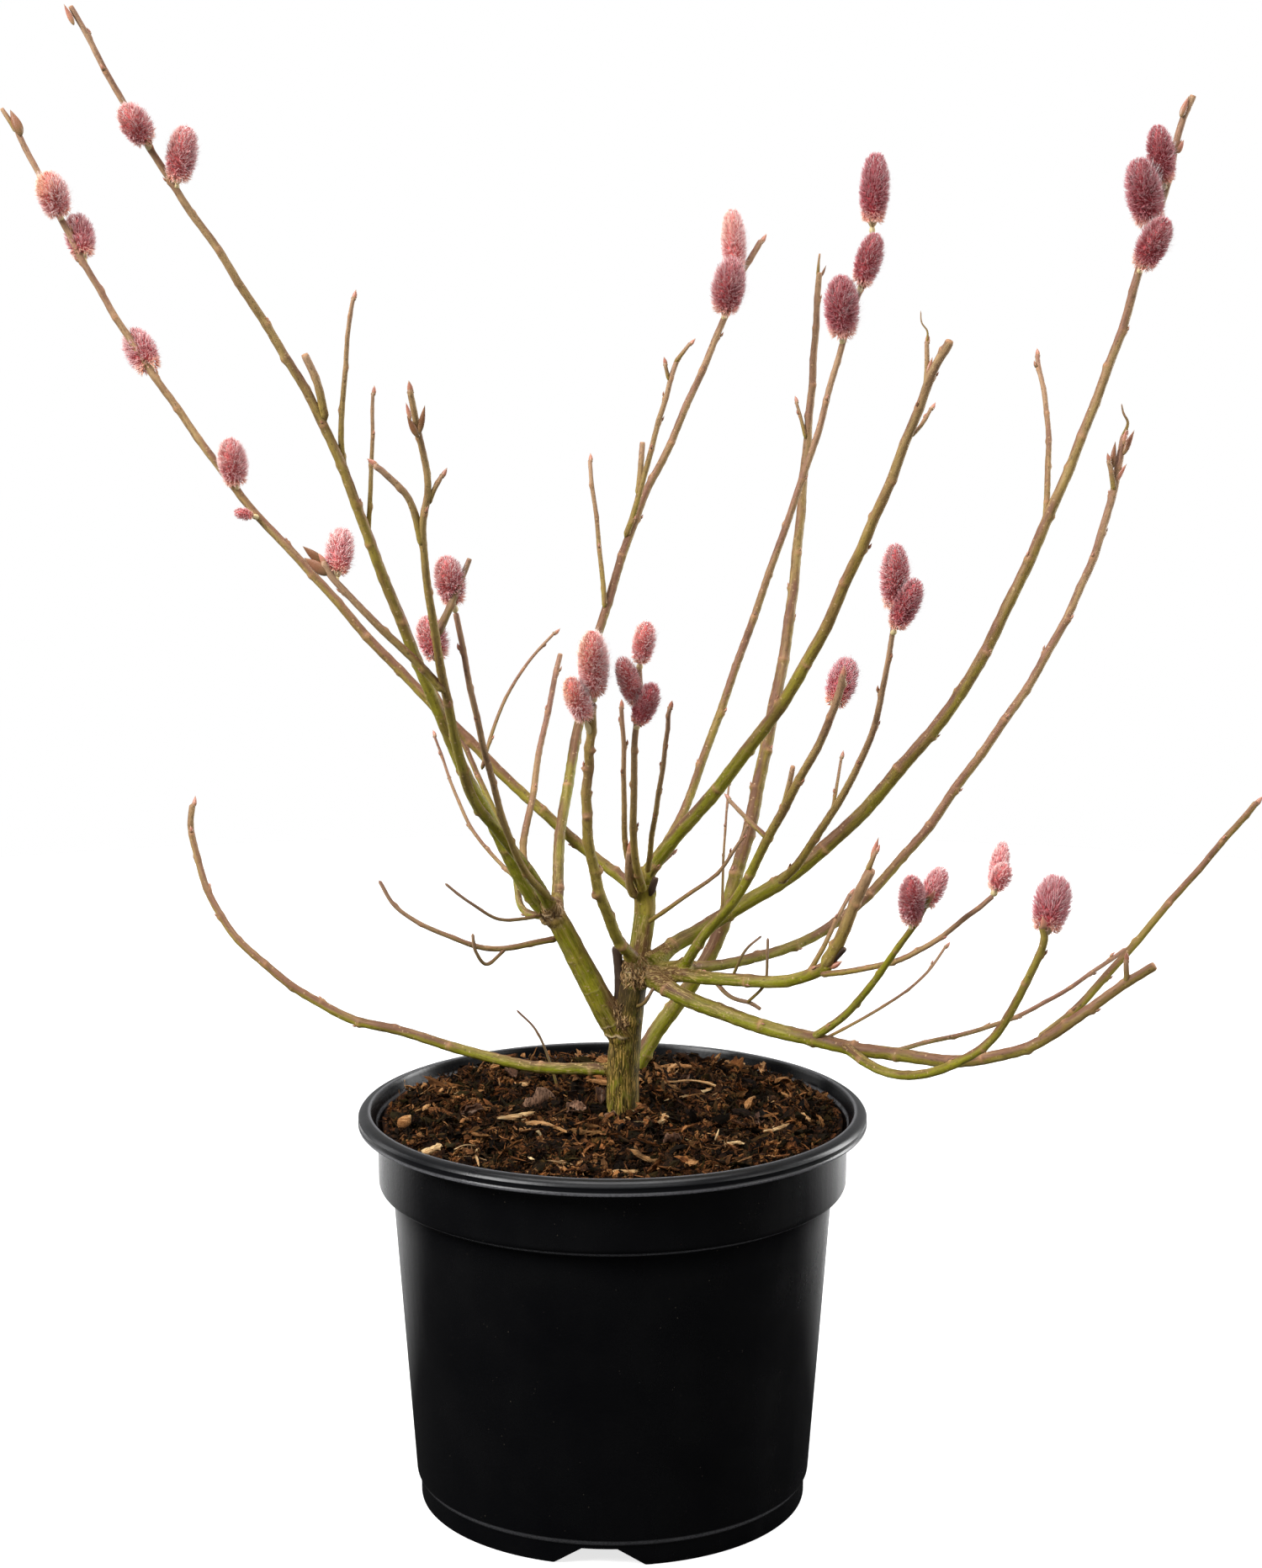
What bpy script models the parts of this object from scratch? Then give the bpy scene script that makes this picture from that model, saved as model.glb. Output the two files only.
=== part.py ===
"""Pink pussy willow growing in a black 3-litre nursery pot.

The pot stands on Z = 0 with its axis on the origin. The plant is a short trunk that divides into three
limbs, a second stem that comes out of the soil behind it, the shoots that spring from them, and the
catkins on the shoots. Every shoot and catkin is fitted to the wood it grows from with a small gap.
"""

import math

import bmesh
import bpy
from mathutils import Matrix, Vector

MM = 0.001
GAP = 0.3                # clearance between touching pieces, mm
WELD = 1e-5              # distance for welding caps and axis points, m
ROUND_STEPS = 48         # sides of the pot and the soil

# Pot, mm
RIM_TOP = 151.5
RIM_OUTER_R = 95.5
RIM_INNER_R = 91.0
LIP_BOTTOM = 146.4
LIP_UNDER_R = 88.6
COLLAR_TOP = 143.5
COLLAR_R = 88.0
COLLAR_BOTTOM = 122.0
WALL_TOP_R = 82.8
WALL_FOOT_R = 74.7
WALL_FOOT_Z = 9.5
FOOT_R = 73.2
FOOT_RING = 2.4
WALL = 1.5
FLOOR_UNDER = 7.0
FLOOR_TOP = 9.0
NOTCH_COUNT = 3
FIRST_NOTCH = math.radians(-93.7)
NOTCH_HEIGHT = 6.8
NOTCH_BOTTOM_WIDTH = 37.0
NOTCH_TOP_WIDTH = 13.0
NOTCH_DEPTH = 12.0
DRAIN_COUNT = 6
DRAIN_R = 6.0
DRAIN_SIDES = 16
DRAIN_CIRCLE_R = 55.0

# Soil, mm
SOIL_CROWN = 150.6
SOIL_EDGE = 147.4

# Wood: every route is a hand-placed list of points in mm, smoothed into one curve.
RING_SPACING = 16.0
TUBE_RESOLUTION = 1      # 4 + 2 x 1 = six sides

# name: (radius at the base, radius at the tip, route)
TRUNK_LIMBS = {
    "stock": (6.4, 5.8, [(4, 0, 116), (4, 0, 164), (7, 0, 198), (9, 0, 205)]),
    "left_limb": (5.4, 3.9, [(4, -1, 178), (-3, -3, 190), (-21, -8, 226)]),
    "middle_limb": (4.1, 4.1, [(9, 0, 204), (12, 6, 223), (12, 8, 231)]),
    "right_limb": (3.6, 3.2, [(8, -2, 202), (18, -4, 204), (27, -6, 206)]),
}

SHOOTS = {
    "back_stem": (3.6, 1.2, [
        (3, 58, 122), (7, 60, 142), (17, 62, 163), (39, 66, 195), (53, 78, 238), (60, 88, 268),
        (71, 108, 322), (78, 126, 387), (81, 131, 424), (83, 134, 461)]),
    "far_left_shoot": (2.2, 1.1, [
        (11, 12, 230), (-9, 22, 244), (-34, 30, 265), (-58, 36, 288), (-89, 42, 319), (-115, 46, 348),
        (-140, 50, 375), (-167, 54, 412), (-185, 56, 439), (-200, 57, 465), (-216, 57, 498),
        (-223, 56, 513)]),
    "left_tall_shoot": (2.6, 1.1, [
        (-23, -8, 225), (-32, -14, 238), (-42, -24, 261), (-55, -36, 290), (-78, -58, 354),
        (-98, -72, 411), (-126, -82, 461), (-143, -86, 487), (-159, -90, 515), (-175, -93, 546)]),
    "mid_left_shoot": (2.2, 1.0, [
        (-22, -10, 228), (-30, -28, 247), (-41, -48, 266), (-49, -66, 282), (-53, -80, 301),
        (-58, -112, 342), (-61, -128, 377), (-59, -133, 396), (-64, -140, 425)]),
    "left_catkin_shoot": (1.4, 1.0, [
        (-22, -13, 232), (-32, -36, 250), (-39, -58, 274), (-47, -86, 317), (-52, -101, 350)]),
    "left_inner_shoot": (1.5, 1.0, [
        (-23, -4, 229), (-33, 8, 244), (-30, 22, 266), (-27, 32, 284), (-20, 48, 316)]),
    "left_bud_shoot": (1.5, 1.1, [(-56, -100, 323), (-68, -106, 337), (-89, -111, 359), (-95, -112, 368)]),
    "centre_tall_shoot": (2.2, 1.2, [
        (-21, -4, 227), (-19, 22, 256), (-11, 52, 298), (-5, 66, 323), (10, 90, 367), (21, 98, 389),
        (41, 108, 434), (50, 111, 457), (59, 113, 472)]),
    "centre_twig": (1.2, 1.0, [(5, 84, 357), (11, 84, 376), (17, 82, 399), (25, 79, 427)]),
    "front_dark_shoot": (2.3, 1.6, [(9, -3, 206), (-1, -20, 227), (-9, -32, 263), (-7, -43, 311)]),
    "front_catkin_shoot": (1.5, 1.0, [(11, 2, 234), (8, -12, 252), (8, -34, 296), (10, -42, 312), (9, -47, 325)]),
    "low_left_shoot": (2.3, 1.2, [
        (3, 0, 165), (-34, 4, 166), (-76, 14, 175), (-104, 22, 181), (-128, 30, 194), (-147, 38, 210),
        (-157, 45, 226), (-163, 51, 246), (-163, 53, 257)]),
    "mid_right_shoot": (2.8, 1.5, [
        (12, 8, 232), (15, 8, 242), (38, -2, 272), (67, -22, 317), (89, -42, 370), (97, -51, 392),
        (109, -65, 428), (114, -69, 438)]),
    "mid_tall_shoot": (1.7, 1.1, [
        (19, 8, 248), (28, 20, 263), (38, 34, 288), (58, 56, 340), (78, 66, 397), (85, 68, 423),
        (96, 66, 461), (98, 64, 474)]),
    "right_main_shoot": (3.1, 1.2, [
        (14, -2, 206), (23, 6, 212), (32, 10, 216), (49, 12, 226), (70, 10, 240), (91, 8, 260),
        (113, 4, 287), (133, 2, 316), (159, 4, 372), (183, 12, 433), (192, 16, 463), (200, 18, 488),
        (206, 20, 514), (210, 20, 523)]),
    "right_side_twig": (1.2, 0.9, [(158, 4, 370), (161, 24, 403), (158, 38, 430)]),
    "right_slim_shoot": (1.7, 0.9, [
        (62, 0, 237), (69, -12, 248), (79, -26, 268), (88, -40, 289), (93, -52, 309), (97, -68, 344)]),
    "right_inner_shoot": (2.0, 1.3, [
        (26, -8, 206), (33, -20, 221), (44, -32, 237), (52, -42, 255), (61, -56, 277), (74, -78, 309),
        (78, -86, 327)]),
    "right_low_limb": (2.6, 2.1, [(22, -6, 204), (41, -24, 206), (57, -36, 208), (71, -46, 213), (78, -52, 219)]),
    "cut_shoot": (2.4, 1.9, [(75, -50, 216), (82, -56, 232), (90, -63, 255)]),
    "right_low_twig": (1.1, 0.9, [(74, -50, 214), (93, -66, 221), (108, -80, 231), (129, -98, 253)]),
    "right_back_shoot": (2.1, 1.5, [
        (26, -2, 205), (46, 14, 203), (67, 30, 205), (89, 46, 213), (117, 64, 237), (141, 78, 266),
        (168, 92, 302), (189, 102, 341), (199, 108, 371), (204, 112, 396)]),
    "low_right_shoot": (3.2, 1.6, [
        (14, -6, 203), (33, -20, 195), (74, -48, 189), (116, -70, 188), (137, -80, 193), (153, -86, 202),
        (168, -90, 215), (185, -94, 228)]),
    "low_right_front_shoot": (1.8, 1.3, [
        (82, -54, 189), (94, -72, 185), (105, -86, 187), (118, -98, 195), (130, -108, 208),
        (142, -121, 239), (142, -124, 249)]),
    "low_right_slim_shoot": (0.9, 0.8, [
        (96, -58, 187), (116, -40, 187), (139, -26, 189), (162, -14, 196), (191, -2, 212)]),
    "low_right_tip_shoot": (1.5, 1.1, [(147, -85, 199), (166, -78, 214), (198, -62, 246), (227, -52, 277)]),
    "low_right_catkin_shoot": (1.5, 1.0, [
        (72, -47, 190), (84, -62, 204), (94, -80, 224), (102, -96, 242), (107, -104, 254)]),
}

# Catkins in order: (shoot, place along it from 0 to 1, tip in mm, width in mm)
CATKIN_SIDES = 7
CATKIN_RINGS = 5
CATKINS = [
    ("far_left_shoot", 0.90, (-210, 46, 496), 12),
    ("far_left_shoot", 0.85, (-203, 64, 481), 11),
    ("far_left_shoot", 0.72, (-183, 62, 438), 12),
    ("far_left_shoot", 0.58, (-144, 42, 398), 11),
    ("left_bud_shoot", 0.87, (-89, -103, 378), 10),
    ("left_tall_shoot", 0.86, (-158, -98, 514), 10),
    ("left_tall_shoot", 0.82, (-139, -92, 508), 10),
    ("left_catkin_shoot", 1.00, (-55, -109, 369), 10),
    ("mid_left_shoot", 0.59, (-62, -105, 349), 10),
    ("front_dark_shoot", 0.89, (-15, -54, 321), 10),
    ("front_dark_shoot", 1.00, (-7, -60, 338), 11),
    ("front_catkin_shoot", 0.82, (3, -53, 328), 8.5),
    ("front_catkin_shoot", 0.98, (12, -57, 341), 9),
    ("front_catkin_shoot", 0.74, (14, -51, 318), 10),
    ("centre_tall_shoot", 0.93, (47, 110, 484), 10),
    ("centre_tall_shoot", 0.88, (47, 98, 464), 14),
    ("mid_tall_shoot", 1.00, (99, 61, 504), 11),
    ("mid_tall_shoot", 0.91, (99, 56, 474), 10),
    ("mid_tall_shoot", 0.83, (86, 56, 458), 13),
    ("right_main_shoot", 0.91, (195, 9, 512), 10),
    ("right_main_shoot", 0.87, (188, 5, 500), 13),
    ("right_main_shoot", 0.83, (198, 2, 479), 11),
    ("right_slim_shoot", 1.00, (96, -75, 370), 10),
    ("right_slim_shoot", 0.95, (103, -79, 358), 9),
    ("right_inner_shoot", 0.90, (81, -71, 330), 10),
    ("low_right_catkin_shoot", 0.82, (100, -110, 262), 9),
    ("low_right_catkin_shoot", 0.92, (112, -94, 262), 8),
    ("right_low_twig", 1.00, (133, -89, 270), 7),
    ("right_low_twig", 1.00, (132, -104, 265), 7),
    ("low_right_front_shoot", 0.95, (148, -114, 263), 12),
]

# Colours, linear RGB
POT_BLACK = (0.012, 0.012, 0.013)
SOIL_BROWN = (0.045, 0.022, 0.012)
BARK_OLIVE = (0.16, 0.14, 0.035)
SHOOT_TAN = (0.24, 0.15, 0.05)
CATKIN_ROSE = (0.45, 0.14, 0.16)


def clear_scene():
    for thing in list(bpy.data.objects):
        bpy.data.objects.remove(thing, do_unlink=True)


def new_collection(name):
    collection = bpy.data.collections.new(name)
    bpy.context.scene.collection.children.link(collection)
    return collection


def new_material(name, colour, roughness):
    material = bpy.data.materials.new(name)
    material.use_nodes = True
    shader = material.node_tree.nodes["Principled BSDF"]
    shader.inputs["Base Color"].default_value = (*colour, 1.0)
    shader.inputs["Roughness"].default_value = roughness
    shader.inputs["Metallic"].default_value = 0.0
    return material


def mesh_object(name, build, collection):
    """Makes an object whose mesh is filled in by build(bm)."""
    mesh = bpy.data.meshes.new(name)
    bm = bmesh.new()
    build(bm)
    bm.to_mesh(mesh)
    bm.free()
    thing = bpy.data.objects.new(name, mesh)
    collection.objects.link(thing)
    return thing


def as_cutter(thing):
    thing.hide_render = True
    thing.display_type = "WIRE"
    return thing


def apply_modifiers(thing):
    """Replaces the object's mesh with its evaluated mesh."""
    evaluated = thing.evaluated_get(bpy.context.evaluated_depsgraph_get())
    mesh = bpy.data.meshes.new_from_object(evaluated)
    thing.modifiers.clear()
    thing.data = mesh


def boolean(thing, other, operation):
    modifier = thing.modifiers.new(operation.title(), "BOOLEAN")
    modifier.operation = operation
    modifier.solver = "EXACT"
    modifier.object = other


def finish(thing, material, smooth_angle=40.0):
    thing.data.materials.clear()
    thing.data.materials.append(material)
    thing.data.shade_smooth()
    thing.data.set_sharp_from_angle(angle=math.radians(smooth_angle))


# ---- curves ---------------------------------------------------------------------------------------

def smooth_route(route, spacing):
    """Reads a Catmull-Rom curve through the route's points, about every spacing mm."""
    points = [Vector(p) for p in route]
    padded = [2 * points[0] - points[1], *points, 2 * points[-1] - points[-2]]
    result = []
    for a, b, c, d in zip(padded, padded[1:], padded[2:], padded[3:]):
        steps = max(1, round((c - b).length / spacing))
        for step in range(steps):
            t = step / steps
            result.append(0.5 * (2 * b + (c - a) * t + (2 * a - 5 * b + 4 * c - d) * t ** 2
                                 + (3 * b - a - 3 * c + d) * t ** 3))
    result.append(points[-1])
    return result


def lengths_along(points):
    distances = [0.0]
    for a, b in zip(points, points[1:]):
        distances.append(distances[-1] + (b - a).length)
    return distances


def point_along(points, share):
    """The point at the given share of the route's length."""
    distances = lengths_along(points)
    target = share * distances[-1]
    for index, reached in enumerate(distances[1:]):
        if reached >= target - 1e-6:
            start = distances[index]
            return points[index].lerp(points[index + 1], (target - start) / (reached - start))
    return points[-1].copy()


def tube(name, points, base_r, tip_r, collection, grow=0.0):
    """A capped tapering tube as a closed mesh. grow widens it all round and lengthens both ends."""
    points = [p.copy() for p in points]
    if grow:
        points[0] -= grow * (points[1] - points[0]).normalized()
        points[-1] += grow * (points[-1] - points[-2]).normalized()
    distances = lengths_along(points)
    curve = bpy.data.curves.new(name + "_curve", "CURVE")
    curve.dimensions = "3D"
    curve.bevel_depth = MM
    curve.bevel_resolution = TUBE_RESOLUTION
    curve.use_fill_caps = True
    spline = curve.splines.new("POLY")
    spline.points.add(len(points) - 1)
    for spline_point, place, distance in zip(spline.points, points, distances):
        spline_point.co = (*(place * MM), 1.0)
        spline_point.radius = base_r + (tip_r - base_r) * distance / distances[-1] + grow
    drawn = bpy.data.objects.new(name + "_curve", curve)
    collection.objects.link(drawn)
    evaluated = drawn.evaluated_get(bpy.context.evaluated_depsgraph_get())
    mesh = bpy.data.meshes.new_from_object(evaluated)
    bm = bmesh.new()
    bm.from_mesh(mesh)
    bmesh.ops.remove_doubles(bm, verts=bm.verts, dist=WELD)
    bm.to_mesh(mesh)
    bm.free()
    thing = bpy.data.objects.new(name, mesh)
    thing.matrix_world = drawn.matrix_world
    collection.objects.link(thing)
    bpy.data.objects.remove(drawn, do_unlink=True)
    return thing


# ---- fitting ----------------------------------------------------------------------------------------

class Fitter:
    """Keeps the grown outline of each placed piece, and trims later pieces clear of them."""

    def __init__(self, cutters):
        self.cutters = cutters
        self.outlines = []

    def box(self, thing):
        corners = [thing.matrix_world @ v.co for v in thing.data.vertices]
        low = Vector([min(c[axis] for c in corners) for axis in range(3)])
        high = Vector([max(c[axis] for c in corners) for axis in range(3)])
        return low, high

    def touches(self, thing, outline):
        low, high = self.box(thing)
        other_low, other_high = self.box(outline)
        return all(low[i] <= other_high[i] and other_low[i] <= high[i] for i in range(3))

    def trim(self, thing, keep_near):
        """Cuts the piece by every outline that it meets and keeps the part nearest to keep_near (mm)."""
        met = [outline for outline in self.outlines if self.touches(thing, outline)]
        if not met:
            return
        for outline in met:
            boolean(thing, outline, "DIFFERENCE")
        apply_modifiers(thing)
        keep_one_body(thing, Vector(keep_near) * MM)

    def add(self, outline):
        self.outlines.append(as_cutter(outline))


def keep_one_body(thing, place):
    """Deletes every separate body of the mesh but the one that comes nearest to the place."""
    bm = bmesh.new()
    bm.from_mesh(thing.data)
    left = set(bm.verts)
    bodies = []
    while left:
        body = set()
        waiting = [left.pop()]
        while waiting:
            vert = waiting.pop()
            body.add(vert)
            for edge in vert.link_edges:
                other = edge.other_vert(vert)
                if other in left:
                    left.remove(other)
                    waiting.append(other)
        bodies.append(body)
    kept = min(bodies, key=lambda body: min((v.co - place).length for v in body))
    extra = [v for v in bm.verts if v not in kept]
    bmesh.ops.delete(bm, geom=extra, context="VERTS")
    bm.to_mesh(thing.data)
    bm.free()


# ---- pot and soil -----------------------------------------------------------------------------------

def turned(name, profile, collection):
    """A solid turned about Z from a profile of (radius, height) in mm that starts and ends on the axis."""
    def build(bm):
        verts = [bm.verts.new((radius * MM, 0.0, height * MM)) for radius, height in profile]
        for a, b in zip(verts, verts[1:]):
            bm.edges.new((a, b))
    thing = mesh_object(name, build, collection)
    screw = thing.modifiers.new("Screw", "SCREW")
    screw.steps = ROUND_STEPS
    screw.render_steps = ROUND_STEPS
    screw.use_merge_vertices = True
    screw.merge_threshold = WELD
    return thing


def inner_wall():
    """The inside of the pot from the floor up to the rim."""
    return [
        (FOOT_R - WALL, FLOOR_TOP), (WALL_TOP_R - WALL, COLLAR_BOTTOM - 4.0),
        (COLLAR_R - WALL, COLLAR_BOTTOM + 2.0), (COLLAR_R - WALL + 0.4, SOIL_EDGE), (RIM_INNER_R, RIM_TOP)]


def pot_profile():
    outside = [
        (RIM_OUTER_R - 0.6, RIM_TOP), (RIM_OUTER_R, RIM_TOP - 1.0), (RIM_OUTER_R - 0.5, LIP_BOTTOM),
        (LIP_UNDER_R + 0.8, LIP_BOTTOM), (LIP_UNDER_R, COLLAR_TOP), (COLLAR_R, COLLAR_TOP - 1.0),
        (COLLAR_R, COLLAR_BOTTOM + 1.4), (COLLAR_R - 1.4, COLLAR_BOTTOM), (WALL_TOP_R, COLLAR_BOTTOM - 1.6),
        (WALL_FOOT_R, WALL_FOOT_Z), (FOOT_R, WALL_FOOT_Z - 1.5), (FOOT_R, 0.0)]
    underside = [(FOOT_R - FOOT_RING, 0.0), (FOOT_R - FOOT_RING, FLOOR_UNDER), (0.0, FLOOR_UNDER)]
    return [(0.0, FLOOR_TOP), *inner_wall(), *outside, *underside]


def soil_profile():
    wall = [(radius - GAP, height) for radius, height in inner_wall()[:-1]]
    wall[0] = (wall[0][0], FLOOR_TOP + GAP)
    crown = [(0.0, SOIL_CROWN), (30.0, SOIL_CROWN - 0.6), (60.0, SOIL_CROWN - 2.6)]
    return [*crown, *reversed(wall), (0.0, FLOOR_TOP + GAP)]


def notch_wedge(bm):
    """A trapezoid block that stands on Z = 0, deep along X, for cutting a foot notch."""
    verts = bmesh.ops.create_cube(bm, size=1.0)["verts"]
    for vert in verts:
        above = vert.co.z > 0
        vert.co.x *= NOTCH_DEPTH * MM
        vert.co.y *= (NOTCH_TOP_WIDTH if above else NOTCH_BOTTOM_WIDTH) * MM
        vert.co.z = NOTCH_HEIGHT * MM if above else -MM
    return verts


def drain_pin(bm):
    made = bmesh.ops.create_cone(bm, cap_ends=True, segments=DRAIN_SIDES, radius1=DRAIN_R * MM,
                                 radius2=DRAIN_R * MM, depth=4 * (FLOOR_TOP - FLOOR_UNDER) * MM)
    return made["verts"]


def around(build, name, count, radius, height, first_angle, cutters):
    """Copies of one cutter spaced evenly on a circle, as one object."""
    def build_all(bm):
        for index in range(count):
            turn = Matrix.Rotation(first_angle + 2 * math.pi * index / count, 3, "Z")
            verts = build(bm)
            bmesh.ops.translate(bm, verts=verts, vec=(radius * MM, 0.0, height * MM))
            bmesh.ops.rotate(bm, verts=verts, cent=(0, 0, 0), matrix=turn)
    return as_cutter(mesh_object(name, build_all, cutters))


def make_pot(parts, cutters):
    pot = turned("pot", pot_profile(), parts)
    notches = around(notch_wedge, "foot_notches", NOTCH_COUNT, FOOT_R, 0.0, FIRST_NOTCH, cutters)
    drains = around(drain_pin, "drain_pins", DRAIN_COUNT, DRAIN_CIRCLE_R, FLOOR_UNDER,
                    -math.pi / 2 + math.pi / DRAIN_COUNT, cutters)
    boolean(pot, notches, "DIFFERENCE")
    boolean(pot, drains, "DIFFERENCE")
    apply_modifiers(pot)
    finish(pot, new_material("pot_black", POT_BLACK, 0.35))


def make_soil(parts, stems):
    soil = turned("soil", soil_profile(), parts)
    for stem in stems:
        boolean(soil, stem, "DIFFERENCE")
    apply_modifiers(soil)
    finish(soil, new_material("soil_brown", SOIL_BROWN, 0.95))


# ---- plant ------------------------------------------------------------------------------------------

def make_trunk(parts, cutters, fitter, bark):
    """The stock and its three limbs are one piece of wood, so they are joined into one solid."""
    solids = []
    outlines = []
    for name, (base_r, tip_r, route) in TRUNK_LIMBS.items():
        points = smooth_route(route, RING_SPACING)
        solids.append(tube(name, points, base_r, tip_r, parts))
        outlines.append(tube(name + "_outline", points, base_r, tip_r, cutters, grow=GAP))
    trunk = solids[0]
    trunk.name = "trunk"
    for limb in solids[1:]:
        boolean(trunk, limb, "UNION")
    apply_modifiers(trunk)
    for limb in solids[1:]:
        bpy.data.objects.remove(limb, do_unlink=True)
    finish(trunk, bark)
    for outline in outlines:
        fitter.add(outline)
    return outlines[0]


def make_shoots(parts, cutters, fitter, material):
    """Each shoot starts inside the wood that bears it and is trimmed back to that wood's surface."""
    curves = {}
    outlines = {}
    for name, (base_r, tip_r, route) in SHOOTS.items():
        points = smooth_route(route, RING_SPACING)
        shoot = tube(name, points, base_r, tip_r, parts)
        fitter.trim(shoot, route[-1])
        outlines[name] = tube(name + "_outline", points, base_r, tip_r, cutters, grow=GAP)
        fitter.add(outlines[name])
        finish(shoot, material)
        curves[name] = points
    return curves, outlines


def egg(base, tip, width):
    """An egg-shaped solid from base to tip, mm."""
    axis = tip - base
    turn = axis.to_track_quat("Z", "Y").to_matrix()

    def build(bm):
        bmesh.ops.create_uvsphere(bm, u_segments=CATKIN_SIDES, v_segments=CATKIN_RINGS, radius=0.5)
        for vert in bm.verts:
            across = Vector((vert.co.x * width, vert.co.y * width, vert.co.z * axis.length))
            vert.co = (turn @ across + (base + tip) / 2) * MM
    return build


def make_catkins(parts, cutters, fitter, curves, material):
    for number, (shoot, share, tip, width) in enumerate(CATKINS, start=1):
        base = point_along(curves[shoot], share)
        top = Vector(tip)
        reach = GAP * (top - base).normalized()
        catkin = mesh_object(f"catkin_{number:02d}", egg(base, top, width), parts)
        fitter.trim(catkin, tip)
        outline = egg(base - reach, top + reach, width + 2 * GAP)
        fitter.add(mesh_object(f"catkin_{number:02d}_outline", outline, cutters))
        finish(catkin, material)


def main():
    clear_scene()
    parts = new_collection("potted_pussy_willow")
    cutters = new_collection("cutters")
    fitter = Fitter(cutters)
    make_pot(parts, cutters)
    stock_outline = make_trunk(parts, cutters, fitter, new_material("bark_olive", BARK_OLIVE, 0.6))
    curves, outlines = make_shoots(parts, cutters, fitter, new_material("shoot_tan", SHOOT_TAN, 0.5))
    make_soil(parts, [stock_outline, outlines["back_stem"]])
    make_catkins(parts, cutters, fitter, curves, new_material("catkin_rose", CATKIN_ROSE, 0.9))


main()
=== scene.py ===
"""Looks for the potted pink pussy willow: bark, buds, furry catkins, mulch and a moulded nursery pot.

Lengths in the tables are millimetres in the frame's own axes; MM turns them into metres. Material nodes
and the stage work in metres, and the floor's outline in millimetres.
"""

import math

import bpy
import numpy as np
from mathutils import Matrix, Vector, noise
from mathutils.kdtree import KDTree


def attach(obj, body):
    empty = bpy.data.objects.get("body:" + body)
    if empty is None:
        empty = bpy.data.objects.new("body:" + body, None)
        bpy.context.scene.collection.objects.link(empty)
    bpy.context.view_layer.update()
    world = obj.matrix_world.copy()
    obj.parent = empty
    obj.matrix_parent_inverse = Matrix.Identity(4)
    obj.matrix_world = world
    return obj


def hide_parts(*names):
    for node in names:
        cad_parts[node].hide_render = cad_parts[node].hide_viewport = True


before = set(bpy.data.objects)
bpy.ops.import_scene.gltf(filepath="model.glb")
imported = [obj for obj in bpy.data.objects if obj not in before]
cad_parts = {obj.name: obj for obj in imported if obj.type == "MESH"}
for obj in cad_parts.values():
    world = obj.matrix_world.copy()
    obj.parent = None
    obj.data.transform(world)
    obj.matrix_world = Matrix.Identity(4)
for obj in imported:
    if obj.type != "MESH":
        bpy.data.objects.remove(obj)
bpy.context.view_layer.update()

MM = 0.001
BODY = "root"
GOLDEN_ANGLE = math.radians(137.508)
LEAF_TURN = math.radians(144)      # buds follow each other round a shoot at two fifths of a turn

# ---- the plant ---------------

# Wood is name: (radius at the base, radius at the tip, route).
TRUNK_LIMBS = {
    "stock": (6.4, 5.8, [(4, 0, 116), (4, 0, 164), (7, 0, 198), (9, 0, 205)]),
    "left_limb": (5.4, 3.9, [(4, -1, 178), (-3, -3, 190), (-21, -8, 226)]),
    "middle_limb": (4.1, 4.1, [(9, 0, 204), (12, 6, 223), (12, 8, 231)]),
    "right_limb": (3.6, 3.2, [(8, -2, 202), (18, -4, 204), (27, -6, 206)]),
}

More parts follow.
